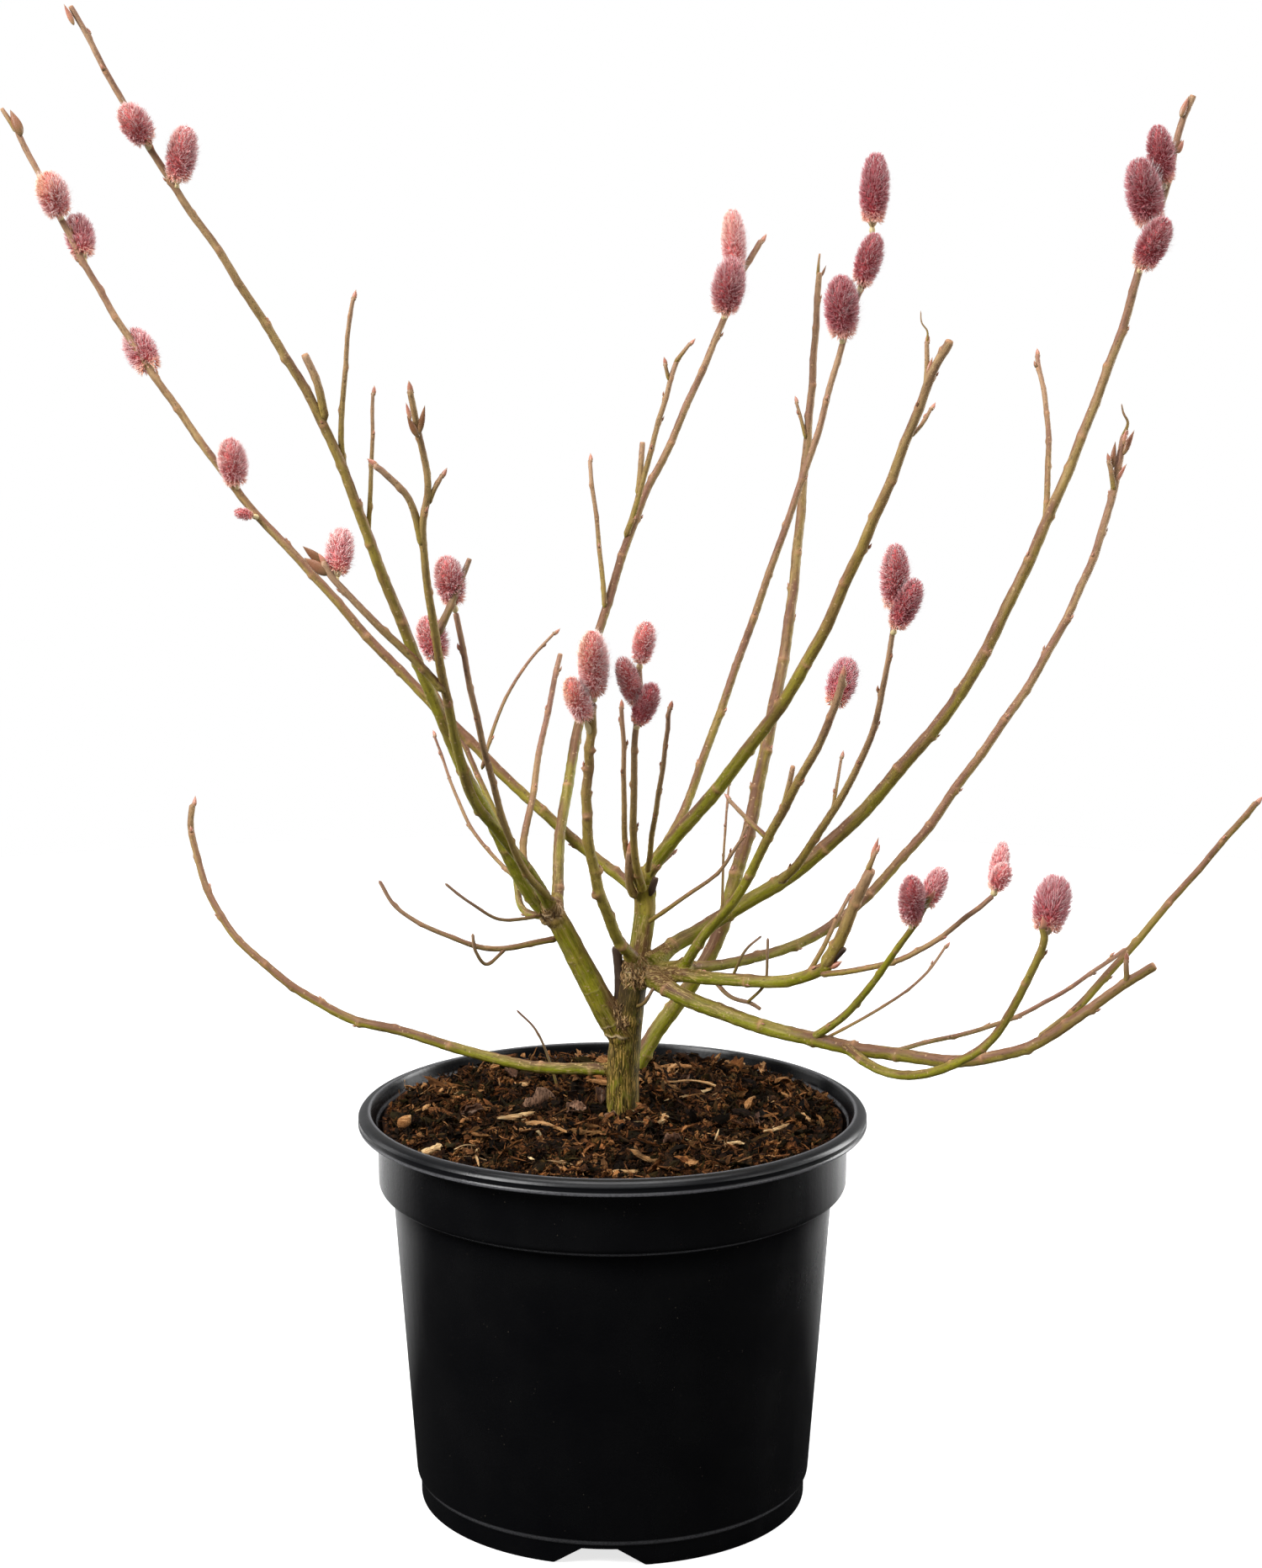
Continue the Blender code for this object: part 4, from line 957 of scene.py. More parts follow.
def carve_trunk(mesh, axes):
    """Cuts fissures, the knot and the ring scars into the fused skin and stores the bark values."""
    tree = KDTree(sum(len(axis.points) for axis in axes))
    owners = []
    for axis in axes:
        for index, point in enumerate(axis.points):
            tree.insert(point, len(owners))
            owners.append((axis, index))
    tree.balance()
    stock, left_limb = axes[0], axes[1]
    count = len(mesh.vertices)
    flat = np.empty(count * 3, np.float32)
    mesh.vertices.foreach_get("co", flat)
    points = flat.reshape(-1, 3).astype(float)
    mesh.vertex_normals.foreach_get("vector", flat)
    normals = flat.reshape(-1, 3).astype(float)
    rods = np.empty((count, 3))
    values = np.empty((count, 3))
    marks = np.empty((count, 3))
    moved = np.empty((count, 3))
    knot = np.array(KNOT) * MM
    knuckle = np.array(LEFT_KNUCKLE) * MM
    for i in range(count):
        p = points[i]
        axis, at = owners[tree.find(p)[1]]
        height = p[2] / MM
        if axis is left_limb and height < RING_HEIGHT:
            axis = stock
            at = int(np.searchsorted(stock.points[:, 2], p[2]))
        out = p - axis.points[at]
        along = axis.along[at] + float(np.dot(out, axis.tangent[at]))
        u, v = float(np.dot(out, axis.side[at])), float(np.dot(out, axis.up[at]))
        slow = noise.noise(Vector(p * 110))
        quick = noise.noise(Vector(p * 420))
        braid = noise.noise(Vector((u * 760, v * 760, along * 170)))
        round_it = FISSURES_ROUND * math.atan2(v, u) + 5.0 * slow + 2.6 * quick
        wave = 0.45 * math.sin(round_it) + 1.05 * braid
        broken = noise.noise(Vector((u * 500, v * 500, along * 210 + 40)))
        fissured = 0.10
        if axis is stock:
            fissured = float(np.interp(height, (184, 196), (1.0, 0.25)))
        elif axis is left_limb:
            fissured = float(np.interp(height, (182, 196, 220), (0.55, 0.06, 0.30)))
        fissured *= min(1.0, max(0.0, 1.05 + 1.3 * broken))
        knotty = math.exp(-(np.linalg.norm((p - knot) * KNOT_SQUASH) / (KNOT_R * MM)) ** 4)
        torn = math.exp(-(np.linalg.norm(p - knuckle) / (TORN_R * MM)) ** 4)
        web = noise.noise(Vector((p[0] * 620, p[1] * 620, p[2] * 330)))
        fibre = bell(web, 0.16)
        wobble = 1.1 * quick
        ring = bell(height - RING_HEIGHT + wobble, 0.55) * float(np.interp(p[0] / MM, (3, 6), (1, 0)))
        if axis is left_limb:
            arc = max(0.0, math.sin(2 * math.atan2(v, u) + 4 * slow))
            for ring_at in LIMB_RINGS:
                ring = max(ring, 0.4 * arc * bell(along / MM - ring_at + wobble, 0.35))
        groove = max(0.0, (wave - 0.4) / 0.6) * fissured
        lift = -0.16 * groove + 0.55 * knotty * (fibre - 0.4) + 0.30 * torn * (fibre - 0.5) + 0.35 * ring
        lift += 0.22 * noise.noise(Vector(p * 230)) + 0.05 * quick
        moved[i] = p + normals[i] * lift * MM
        rods[i] = (u, v, along)
        dead_wood_and_shade = 0.0
        if axis is stock:
            # The stock darkens towards its right side (+X), away from the key lamp: painted shade. It
            # also turns dark from 182 mm upwards, except at the knot, and its pale fissures fade where it
            # is dark.
            dead_wood_and_shade = float(np.interp(p[0] / MM, (0, 8), (0.10, 0.50)))
            dead_wood_and_shade = max(dead_wood_and_shade, float(np.interp(height, (182, 190), (0.0, 0.95))) * (1 - knotty))
            dead_wood_and_shade = max(0.0, min(1.0, dead_wood_and_shade + 0.5 * slow)) * float(np.interp(height, (206, 211), (1, 0)))
            fissured *= 1 - 0.35 * dead_wood_and_shade
        age = 0.05 + 0.25 * slow + 0.55 * torn + (0.30 if axis is axes[2] and height > 224 else 0.0)
        age += 0.20 if axis is left_limb else 0.0
        values[i] = (age, 0.15 * torn, dead_wood_and_shade)
        marks[i] = (wave, fissured, min(1.0, ring + knotty * fibre + 0.8 * torn * fibre))
    mesh.vertices.foreach_set("co", moved.astype(np.float32).ravel())
    store_values(mesh, look=values, rod=rods, marks=marks)
    mesh.shade_smooth()
    place(bpy.data.objects.new("trunk_bark", mesh), OLD_BARK, ("trunk",))
    fray("trunk_knot_fibres", moved, normals, knot, 5.9, 260, (0.35, 0.3, -1.0), 31)
    fray("trunk_torn_bark", moved, normals, knuckle, 5.4, 80, (-0.5, -0.2, 1.0), 32, 0.4)
    for number, centre in enumerate(TORN_SEAM):
        fray(f"trunk_seam_bark_{number}", moved, normals, np.array(centre) * MM, 2.3, 60,
             (0.25, -0.2, -1.0),
             33 + number, 0.5)


def fray(name, points, normals, centre, reach, count, grain, seed, dark=0.1):
    """Lifted strips of torn bark round a wound; dark is the share of dark ones."""
    rng = np.random.default_rng(seed)
    near = np.flatnonzero(np.linalg.norm(points - centre, axis=1) < reach * MM)
    picks = rng.choice(near, count)
    strips = Batch()
    for index in picks:
        normal = normals[index]
        flow = unit(np.array(grain) + rng.normal(0, 0.55, 3))
        flow = unit(flow - normal * np.dot(flow, normal) * 0.95)
        length = rng.uniform(1.8, 4.6) * MM
        width = rng.uniform(0.30, 0.85) * MM
        lift = normal * rng.uniform(-0.05, 0.22) * MM
        verts, faces, _ = blob(points[index] + lift, flow, np.cross(normal, flow), length, width,
                               0.4 * width,
                                   point=0.8, bend=rng.uniform(-0.12, 0.16), rows=6, columns=5)
        dead_wood_and_shade = rng.choice((0.0, 0.25, 0.80), p=(0.75 - dark, 0.25, dark))
        strips.add(verts, faces, (0.9, 0.25, dead_wood_and_shade))
    strips.build(name, FIBRE)


# ---- catkins -----------------------------------------------------------------------

BRISTLES_PER_MM2 = 3.30
TUFT = 3                 # bristles that grow from one scale
SILK_PER_MM2 = 0.95
CORE_SHARE = 0.69        # the solid core under the fur, as a share of the catkin's width
FUR_ROOT = CORE_SHARE * 0.96    # where the hairs start, just under the core's skin
TUFT_SWING = 0.30
FUR_LIFT = 0.75          # how far hairs lean towards the catkin's tip
SILK_LIFT = 1.1
FUR_TAPER = (1.0, 1.0, 0.86, 0.62, 0.16)
SILK_TAPER = (1.0, 0.95, 0.8, 0.6, 0.3)
BRACTS = 7
LIT_SIDE = unit(np.array((-0.75, -0.55, 0.35)))
SILKY_SIDE = unit(np.array((0.75, 0.0, 0.65)))


def envelope(t):
    """Half width of a catkin over its length, as a share of its greatest half width."""
    low = np.sqrt(np.clip(1 - ((0.46 - t) / 0.52) ** 2, 0, 1))
    high = np.sqrt(np.clip(1 - ((t - 0.46) / 0.54) ** 2, 0, 1))
    return np.where(t < 0.46, low, high)


def spikes(base, aim, length, bend_to, width, taper, tones, peach):
    """Many three-sided hairs at once, from arrays of bases, directions and lengths; taper thins them."""
    rows = len(taper)
    u = unit(np.cross(aim, bend_to + 0.13))
    v = np.cross(aim, u)
    t = np.linspace(0, 1, rows)
    centre = (base[:, None] + aim[:, None] * (length[:, None] * t)[..., None]
              + bend_to * ((length[:, None] * t ** 2) * 0.16)[..., None])
    angle = circle(3)
    spread = (u[:, None, None] * np.cos(angle)[None, None, :, None]
              + v[:, None, None] * np.sin(angle)[None, None, :, None])
    radius = (width[:, None] * np.asarray(taper)[None])[..., None, None] / 2
    verts = (centre[:, :, None] + spread * radius).reshape(-1, 3)
    one = grid_faces(rows, 3)
    caps = np.array([[2, 1, 0], [rows * 3 - 3, rows * 3 - 2, rows * 3 - 1]])
    starts = (np.arange(len(base)) * rows * 3)[:, None, None]
    share = np.broadcast_to(t[None, :, None], (len(base), rows, 3))
    look = looks(share, tones[:, None, None], peach[:, None, None]).reshape(-1, 3)
    return verts, [(one + starts).reshape(-1, 4), (caps + starts).reshape(-1, 3)], look


def hair_field(scales, tuft, foot, along, side, up, length, half, rng, lift):
    """Scales in spirals over the catkin, and the directions in which each one's tuft of hairs grows."""
    count = scales * tuft
    t_fine = np.linspace(0.07, 0.985, 200)
    area = np.cumsum(envelope(t_fine))
    t = np.repeat(np.interp((np.arange(scales) + 0.5) / scales * area[-1], area, t_fine), tuft)
    turn = np.repeat(np.arange(scales) * GOLDEN_ANGLE + rng.normal(0, 0.05, scales), tuft)
    swing = np.repeat(rng.normal(0, TUFT_SWING, (scales, 3)), tuft, axis=0)
    turn = turn + rng.normal(0, 0.30 * MM, count) / (half * np.clip(envelope(t), 0.3, 1))
    t = np.clip(t + rng.normal(0, 0.22 * MM, count) / length, 0.01, 0.99)
    radial = side * np.cos(turn)[:, None] + up * np.sin(turn)[:, None]
    slope = np.gradient(envelope(t_fine), t_fine)
    tilt = np.clip(-np.interp(t, t_fine, slope) * half / length, -1.6, 3.0)
    normal = unit(radial + along * tilt[:, None])
    rise = lift * np.interp(t, (0.0, 0.2, 0.5, 1.0), (-0.60, -0.10, 0.42, 0.95))
    aim = unit(normal + along * rise[:, None] + swing + rng.normal(0, 0.12, (count, 3)))
    base = foot + along * (t * length)[:, None] + radial * (envelope(t) * half * FUR_ROOT)[:, None]
    reach = envelope(t) * half * (1 - FUR_ROOT) + 0.04 * half
    reach = reach / np.clip(np.sum(aim * normal, axis=1), 0.6, 1)
    return t, base, aim, reach


def make_catkin(number, shoot, share, tip, width, dark, patch, replaces):
    """One catkin: a core with tufts of bristles, fine silk, and papery scales and a stalk below."""
    rng = np.random.default_rng(5000 + number)
    axis, base_r, tip_r = AXES[shoot]
    root, tangent, _, _ = axis.at(share * axis.length)
    wood_r = base_r + (tip_r - base_r) * share
    tip = np.array(tip) * MM
    along = unit(tip - root)
    grazing = max(0.35, np.linalg.norm(np.cross(along, tangent)))
    stem = STALKS[number] * MM if number in STALKS else min(wood_r / grazing + 0.6 * MM, 3.4 * MM)
    foot = root + along * stem
    length = np.linalg.norm(tip - foot)
    half = 1.05 * width * MM / 2
    side = unit(np.cross(along, (0.2, 1.0, 0.1)))
    up = np.cross(along, side)
    area = 2 * math.pi * half * length * 0.8 / MM ** 2
    fur = Batch()
    core = blob(foot + along * 0.5 * length, along, side, length * 0.90, 2 * half * CORE_SHARE,
                2 * half * CORE_SHARE, point=0.2, rows=12, columns=14)
    fur.add(core[0], core[1], (0.0, dark, 0.2 * patch))
    scales = int(area * BRISTLES_PER_MM2 / TUFT)
    count = scales * TUFT
    t, base, aim, reach = hair_field(scales, TUFT, foot, along, side, up, length, half, rng, FUR_LIFT)
    reach *= rng.uniform(0.72, 1.10, count) * np.interp(t, (0.08, 0.22), (1.45, 1.0))
    # Painted light: hairs facing the key lamp (LIT_SIDE) get a lighter, less maroon tone, and the peach
    # tint, the catkins' own colour, is laid only on that lit side, so it is partly a painted highlight
    facing = np.clip(aim @ LIT_SIDE, 0, 1)
    peach = patch * np.clip(facing * 1.5 - 0.35, 0, 1) * np.clip((t - 0.35) * 3, 0, 1)
    peach = np.maximum(peach, np.interp(t, (0.08, 0.24), (0.75, 0.0)))
    blotch = np.repeat(rng.normal(0, 0.26, scales), TUFT)
    tones = np.clip(1.7 * dark - 0.22 + blotch + rng.normal(0, 0.10, count) - 0.15 * facing, 0, 1)
    tones *= np.interp(t, (0.10, 0.30), (0.3, 1.0))
    girth = rng.uniform(0.20, 0.29, count) * MM
    curl = along * 1.6 + rng.normal(0, 0.5, 3)
    fur.add(*spikes(base, aim, reach, curl, girth, FUR_TAPER, tones, peach))
    fur.build(f"catkin_fur_{number:02d}", FUR, replaces)
    silk = Batch()
    count = int(area * SILK_PER_MM2 * (1 + 0.8 * patch))
    t, base, aim, reach = hair_field(count, 1, foot, along, side, up, length, half, rng, SILK_LIFT)
    hairy = aim @ SILKY_SIDE + 0.9 * t
    keep = hairy > rng.uniform(0.1, 0.9, count)
    base, aim, reach = base[keep], aim[keep], reach[keep] * rng.uniform(1.15, 1.75, int(keep.sum()))
    zero = np.zeros(len(base))
    girth = rng.uniform(0.045, 0.07, len(base)) * MM
    silk.add(*spikes(base, aim, reach, along, girth, SILK_TAPER, zero, zero))
    silk.build(f"catkin_silk_{number:02d}", SILK)
    bracts = Batch()
    for index in range(BRACTS):
        turn = index * 2.4 + rng.uniform(0, 0.6)
        out = side * math.cos(turn) + up * math.sin(turn)
        size = rng.uniform(3.2, 5.4) * MM * width / 11
        aim = unit(along * 0.8 + out * rng.uniform(0.35, 1.0))
        centre = foot + out * 0.9 * MM + aim * size * 0.34 - along * 0.5 * MM
        across = np.cross(along, out)
        verts, faces, share_along = blob(centre, aim, across, size, size * 0.60, 0.35 * MM, bend=0.14)
        tint = 0.0 if index < BRACTS - 1 else 0.8
        bracts.add(verts, faces, looks(share_along, tint))
    stalk = blob(root + along * 0.55 * stem, along, side, 1.3 * stem, 2.6 * MM, 2.6 * MM, rows=7)
    bracts.add(stalk[0], stalk[1], looks(stalk[2] * 0.35))
    bracts.build(f"catkin_bracts_{number:02d}", BRACT)


# ---- pot ---------------------------------------------------------------------------

POT_STEPS = 192
FOOT_NOTCHES = 3
FIRST_NOTCH = math.radians(-93.7)
NOTCH = [(-18.6, -1.0), (18.6, -1.0), (11.0, 3.9), (6.5, 6.6), (-6.5, 6.6),
         (-11.0, 3.9)]    # (across, up)
NOTCH_DEPTH = 12
FOOT_R = 73.2
DRAINS = 6
DRAIN_R = 6.0
DRAIN_CIRCLE_R = 55.0
DRAIN_SPAN = (5.0, 11.0)   # heights between which the drain holes are cut
SHARP_ANGLE = math.radians(38)


def rounded(corners, radius, steps=4):
    """Replaces each inner corner of an outline by a short curve that starts radius mm before it."""
    corners = [np.array(c, float) for c in corners]
    result = [corners[0]]
    for before, corner, after in zip(corners, corners[1:], corners[2:]):
        back = before - corner
        ahead = after - corner
        cut = min(radius, 0.45 * np.linalg.norm(back), 0.45 * np.linalg.norm(ahead))
        start = corner + unit(back) * cut
        end = corner + unit(ahead) * cut
        for t in np.linspace(0, 1, steps):
            result.append((1 - t) ** 2 * start + 2 * t * (1 - t) * corner + t * t * end)
    result.append(corners[-1])
    return np.array(result)


def pot_outline():
    """The moulding's section from the middle of the inside floor, over the rim, to the middle below."""
    inside = [(0, 9.0), (71.6, 9.0), (81.2, 117.5), (86.3, 124.0), (86.9, 143.5), (90.6, 150.9)]
    rim = [(91.1, 151.45), (91.7, 151.2), (93.3, 151.0), (94.7, 150.2), (95.45, 149.0), (95.2, 148.6),
           (95.1, 147.3),
           (95.5, 146.9), (95.5, 146.2)]
    step = [(95.0, 145.8), (89.4, 145.9), (88.5, 144.2), (88.2, 142.6)]
    wall = [(88.0, 123.9), (87.2, 122.3), (83.6, 120.9), (82.6, 119.4), (74.75, 10.0), (73.2, 8.0)]
    foot = [(73.2, 0.0), (70.9, 0.0), (70.9, 7.0), (0, 7.0)]
    return rounded(inside + rim + step + wall + foot, 0.9)


def lathe(name, outline, steps):
    """A mesh turned about Z from an outline that starts and ends on the axis."""
    ring = outline[1:-1] * MM
    angle = circle(steps)
    grid = np.stack([ring[:, :1] * np.cos(angle), ring[:, :1] * np.sin(angle),
                     np.repeat(ring[:, 1:], steps, axis=1)], -1)
    ends = np.array([[0, 0, outline[0][1] * MM], [0, 0, outline[-1][1] * MM]])
    batch = Batch()
    rows = len(ring)
    quads = grid_faces(rows, steps)[:, ::-1]
    tris = fans(rows, steps)[:, ::-1]
    batch.add(np.vstack([grid.reshape(-1, 3), ends]), [quads, tris], (0, 0, 0))
    return batch.mesh(name)


def prism(corners, depth, angle, reach):
    """A block whose end is the given outline in (across, up), pushed depth mm outwards at an angle."""
    verts = [(reach + sign * depth / 2, across, up) for sign in (-1, 1) for across, up in corners]
    n = len(corners)
    sides = [(i, (i + 1) % n, n + (i + 1) % n, n + i) for i in range(n)]
    faces = [tuple(reversed(range(n))), tuple(range(n, 2 * n)), *sides]
    c, s = math.cos(angle), math.sin(angle)
    turned = [((x * c - y * s) * MM, (x * s + y * c) * MM, z * MM) for x, y, z in verts]
    return turned, faces


def make_pot():
    """The moulding with its foot notches and drain holes cut out."""
    mesh = lathe("pot_moulding", pot_outline(), POT_STEPS)
    pot = bpy.data.objects.new("pot_moulding", mesh)
    verts = []
    faces = []
    for index in range(FOOT_NOTCHES):
        block = prism(NOTCH, NOTCH_DEPTH, FIRST_NOTCH + index * 2 * math.pi / FOOT_NOTCHES, FOOT_R)
        faces += [tuple(i + len(verts) for i in face) for face in block[1]]
        verts += block[0]
    hole = [(DRAIN_R * math.cos(a), DRAIN_R * math.sin(a)) for a in np.arange(24) * math.pi / 12]
    for index in range(DRAINS):
        a = -math.pi / 2 + math.pi / DRAINS + index * 2 * math.pi / DRAINS
        centre = (DRAIN_CIRCLE_R * math.cos(a), DRAIN_CIRCLE_R * math.sin(a))
        n = len(hole)
        start = len(verts)
        verts += [((centre[0] + x) * MM, (centre[1] + y) * MM, z * MM) for z in DRAIN_SPAN for x,
                  y in hole]
        faces += [tuple(start + i for i in reversed(range(n))), tuple(start + n + i for i in range(n))]
        faces += [(start + i, start + (i + 1) % n, start + n + (i + 1) % n,
                   start + n + i) for i in range(n)]
    cutter_mesh = bpy.data.meshes.new("pot_openings")
    cutter_mesh.from_pydata(verts, [], faces)
    cutter = bpy.data.objects.new("pot_openings", cutter_mesh)
    for thing in (pot, cutter):
        link(thing)
    cut = pot.modifiers.new("Openings", "BOOLEAN")
    cut.operation = "DIFFERENCE"
    cut.solver = "EXACT"
    cut.object = cutter
    finished = with_modifiers(pot)
    bpy.data.objects.remove(cutter)
    finished.shade_smooth()
    finished.set_sharp_from_angle(angle=SHARP_ANGLE)
    finished.name = "pot_shell"
    place(bpy.data.objects.new("pot_shell", finished), POT, ("pot",))


# ---- mulch -------------------------------------------------------------------------

SOIL_R = 86.4
STEM = (4.0, -2.0)         # where the trunk stands
STEM_CLEAR = 10.5          # no scattered chip is centred nearer to it than this
SOIL_FLOOR = 9.4
GROUND_RINGS = 80
GROUND_STEPS = 260
SOIL_CROWN = 150.6


def relief(x, y):
    """Lumps and hollows of the mulch in mm."""
    broad = noise.noise(Vector((x / 17, y / 17, 3.1)))
    fine = noise.noise(Vector((x / 5.5, y / 5.5, 7.7)))
    at_stem = math.exp(-((x - STEM[0]) ** 2 + (y - STEM[1]) ** 2) / 12 ** 2)
    return 2.4 * broad + 2.7 * fine - 1.8 * at_stem


def ground_height(x, y):
    """Height of the mulch surface in mm: nearly level, lumpy, with a hollow at the stem."""
    r = math.hypot(x, y)
    return SOIL_CROWN - 2.9 * (r / SOIL_R) ** 2 + relief(x, y) * min(1.0, max(0.4, (SOIL_R + 6 - r) / 12))


def make_ground():
    """The root ball: a lumpy top that runs down inside the pot to its floor."""
    rings = np.linspace(1.2, SOIL_R, GROUND_RINGS)
    angle = circle(GROUND_STEPS)
    x = rings[:, None] * np.cos(angle)
    y = rings[:, None] * np.sin(angle)
    heights = [ground_height(a, b) + 1.1 * noise.noise(Vector((a / 1.6, b / 1.6, 0.3))) - 1.0
               for a, b in zip(x.ravel(), y.ravel())]
    z = np.array(heights).reshape(x.shape)
    wall = [(85.6, 126.0), (80.6, 117.0), (71.4, SOIL_FLOOR)]
    for radius, height in wall:
        x = np.vstack([x, radius * np.cos(angle)])
        y = np.vstack([y, radius * np.sin(angle)])
        z = np.vstack([z, np.full(len(angle), height)])
    rows = len(x)
    grid = np.stack([x, y, z], -1).reshape(-1, 3)
    ends = np.array([[0, 0, z[0].mean()], [0, 0, SOIL_FLOOR]])
    ground = Batch()
    shade = np.random.default_rng(9).uniform(0.0, 0.42, z.size + 2)
    look = looks(shade, 0.4)
    ground.add(np.vstack([grid, ends]) * MM, [grid_faces(rows, len(angle)), fans(rows, len(angle))], look)
    ground.build("mulch_bed", GROUND, ("soil",))


def slivers(rng, length, width, thick, rows, sides, ragged):
    """Many bent, splintered, closed flakes along X about the origin, in mm: (count, points, 3)."""
    count = len(length)
    u = np.linspace(-0.5, 0.5, rows)[None, :, None] + 0 * length[:, None, None]
    angle = (np.arange(sides) + 0.5) * 2 * math.pi / sides
    round_y = np.sign(np.cos(angle)) * np.abs(np.cos(angle)) ** 0.6
    round_z = np.sign(np.sin(angle)) * np.abs(np.sin(angle)) ** 0.6
    taper = np.where(np.abs(u) > 0.45, rng.uniform(0.1, 0.8, (count, rows, 1)), 1.0)
    wide = width[:, None, None] * taper * rng.uniform(0.70, 1.20, (count, rows, 1)) / 2
    tall = thick[:, None, None] * taper * rng.uniform(0.70, 1.20, (count, rows, 1)) / 2
    shape = (count, rows, sides)
    y = wide * (round_y + ragged * rng.uniform(-1, 1, shape))
    z = tall * (round_z + ragged * rng.uniform(-1, 1, shape))
    bend = rng.normal(0, 0.09, (count, 1, 1)) * length[:, None, None]
    sway = rng.normal(0, 0.05, (count, 1, 1)) * length[:, None, None]
    torn = np.where(np.abs(u) > 0.45, rng.uniform(-0.12, 0.12, shape), 0.0)
    x = (u + torn) * length[:, None, None]
    verts = np.stack([x, y + sway * (4 * u * u - 0.5), z + bend * (4 * u * u - 0.5)], -1)
    return verts.reshape(count, rows * sides, 3)


def spun(verts, turn, pitch, roll):
    """Turns each flake of (count, points, 3) about X, then Y, then Z."""
    for angle, a, b in ((roll, 1, 2), (pitch, 0, 2), (turn, 0, 1)):
        c, s = np.cos(angle)[:, None], np.sin(angle)[:, None]
        first = verts[..., a] * c - verts[..., b] * s
        second = verts[..., a] * s + verts[..., b] * c
        verts = verts.copy()
        verts[..., a] = first
        verts[..., b] = second
    return verts


def keep_inside(verts):
    """Pulls points that would poke through the pot's wall back inside it."""
    radius = np.hypot(verts[..., 0], verts[..., 1])
    limit = np.interp(verts[..., 2], (142, 151, 156), (86.0, 89.8, 92.0))
    pull = np.where(radius > limit, limit / np.maximum(radius, 1e-6), 1.0)
    verts[..., 0] *= pull
    verts[..., 1] *= pull


def lay(batch, rng, x, y, lift, length, width, thick, turn, pitch, roll, shade, red, olive, rows=5,
        sides=6,
        ragged=0.35):
    """Adds flakes at the given places, each with its own colour values."""
    local = slivers(rng, length, width, thick, rows, sides, ragged)
    ground = np.array([ground_height(a, b) for a, b in zip(x, y)])
    verts = spun(local, turn, pitch, roll) + np.stack([x, y, ground + lift], -1)[:, None, :]
    keep_inside(verts)
    count, points = verts.shape[:2]
    start = (np.arange(count) * points)[:, None, None]
    walls = (grid_faces(rows, sides) + start).reshape(-1, 4)
    last = (rows - 1) * sides
    caps = np.array([list(range(sides))[::-1], [last + i for i in range(sides)]])
    look = np.repeat(np.stack([shade, red, olive], -1), points, axis=0)
    grain = local * MM + rng.uniform(0, 1, (count, 1, 3))
    batch.add(verts.reshape(-1, 3) * MM, [walls, (caps + start).reshape(-1, sides)], look,
              grain.reshape(-1, 3))


def scatter(name, count, seed, lengths, slender, thick, tilt, lift, shades, power=1.5, reach=84.5,
            **form):
    """Throws many flakes onto the mulch; shades is the range of their tone, skewed dark by power."""
    rng = np.random.default_rng(seed)
    batch = Batch()
    radius = reach * np.sqrt(rng.uniform(0, 1, count))
    turn = rng.uniform(0, 2 * math.pi, count)
    x, y = radius * np.cos(turn), radius * np.sin(turn)
    apart = np.maximum(1.0, STEM_CLEAR / np.hypot(x - STEM[0], y - STEM[1]))
    x, y = STEM[0] + (x - STEM[0]) * apart, STEM[1] + (y - STEM[1]) * apart
    length = lengths[0] + (lengths[1] - lengths[0]) * rng.uniform(0, 1, count) ** 1.8
    width = length * rng.uniform(*slender, count)
    shade = shades[0] + (shades[1] - shades[0]) * rng.uniform(0, 1, count) ** power
    # Painted shade: chips lying in the hollows of the relief are darkened, and those on the lumps
    # lightened
    hollow = np.array([relief(a, b) for a, b in zip(x, y)])
    shade *= np.interp(hollow, (-1.6, 0.6, 2.4), (0.15, 0.90, 1.22))
    steep = rng.uniform(0, 1, count) < 0.07
    pitch = rng.normal(0, tilt, count) + steep * rng.uniform(0.3, 0.9, count)
    lay(batch, rng, x, y, lift * rng.uniform(-0.9, 1.0, count), length, width,
        np.maximum(0.25, width * thick),
        rng.uniform(0, 2 * math.pi, count), pitch, rng.normal(0, 1.6 * tilt, count), shade,
        rng.uniform(0, 1, count) ** 2, rng.uniform(0, 1, count) ** 3, **form)
    batch.build(name, MULCH, smooth=False)


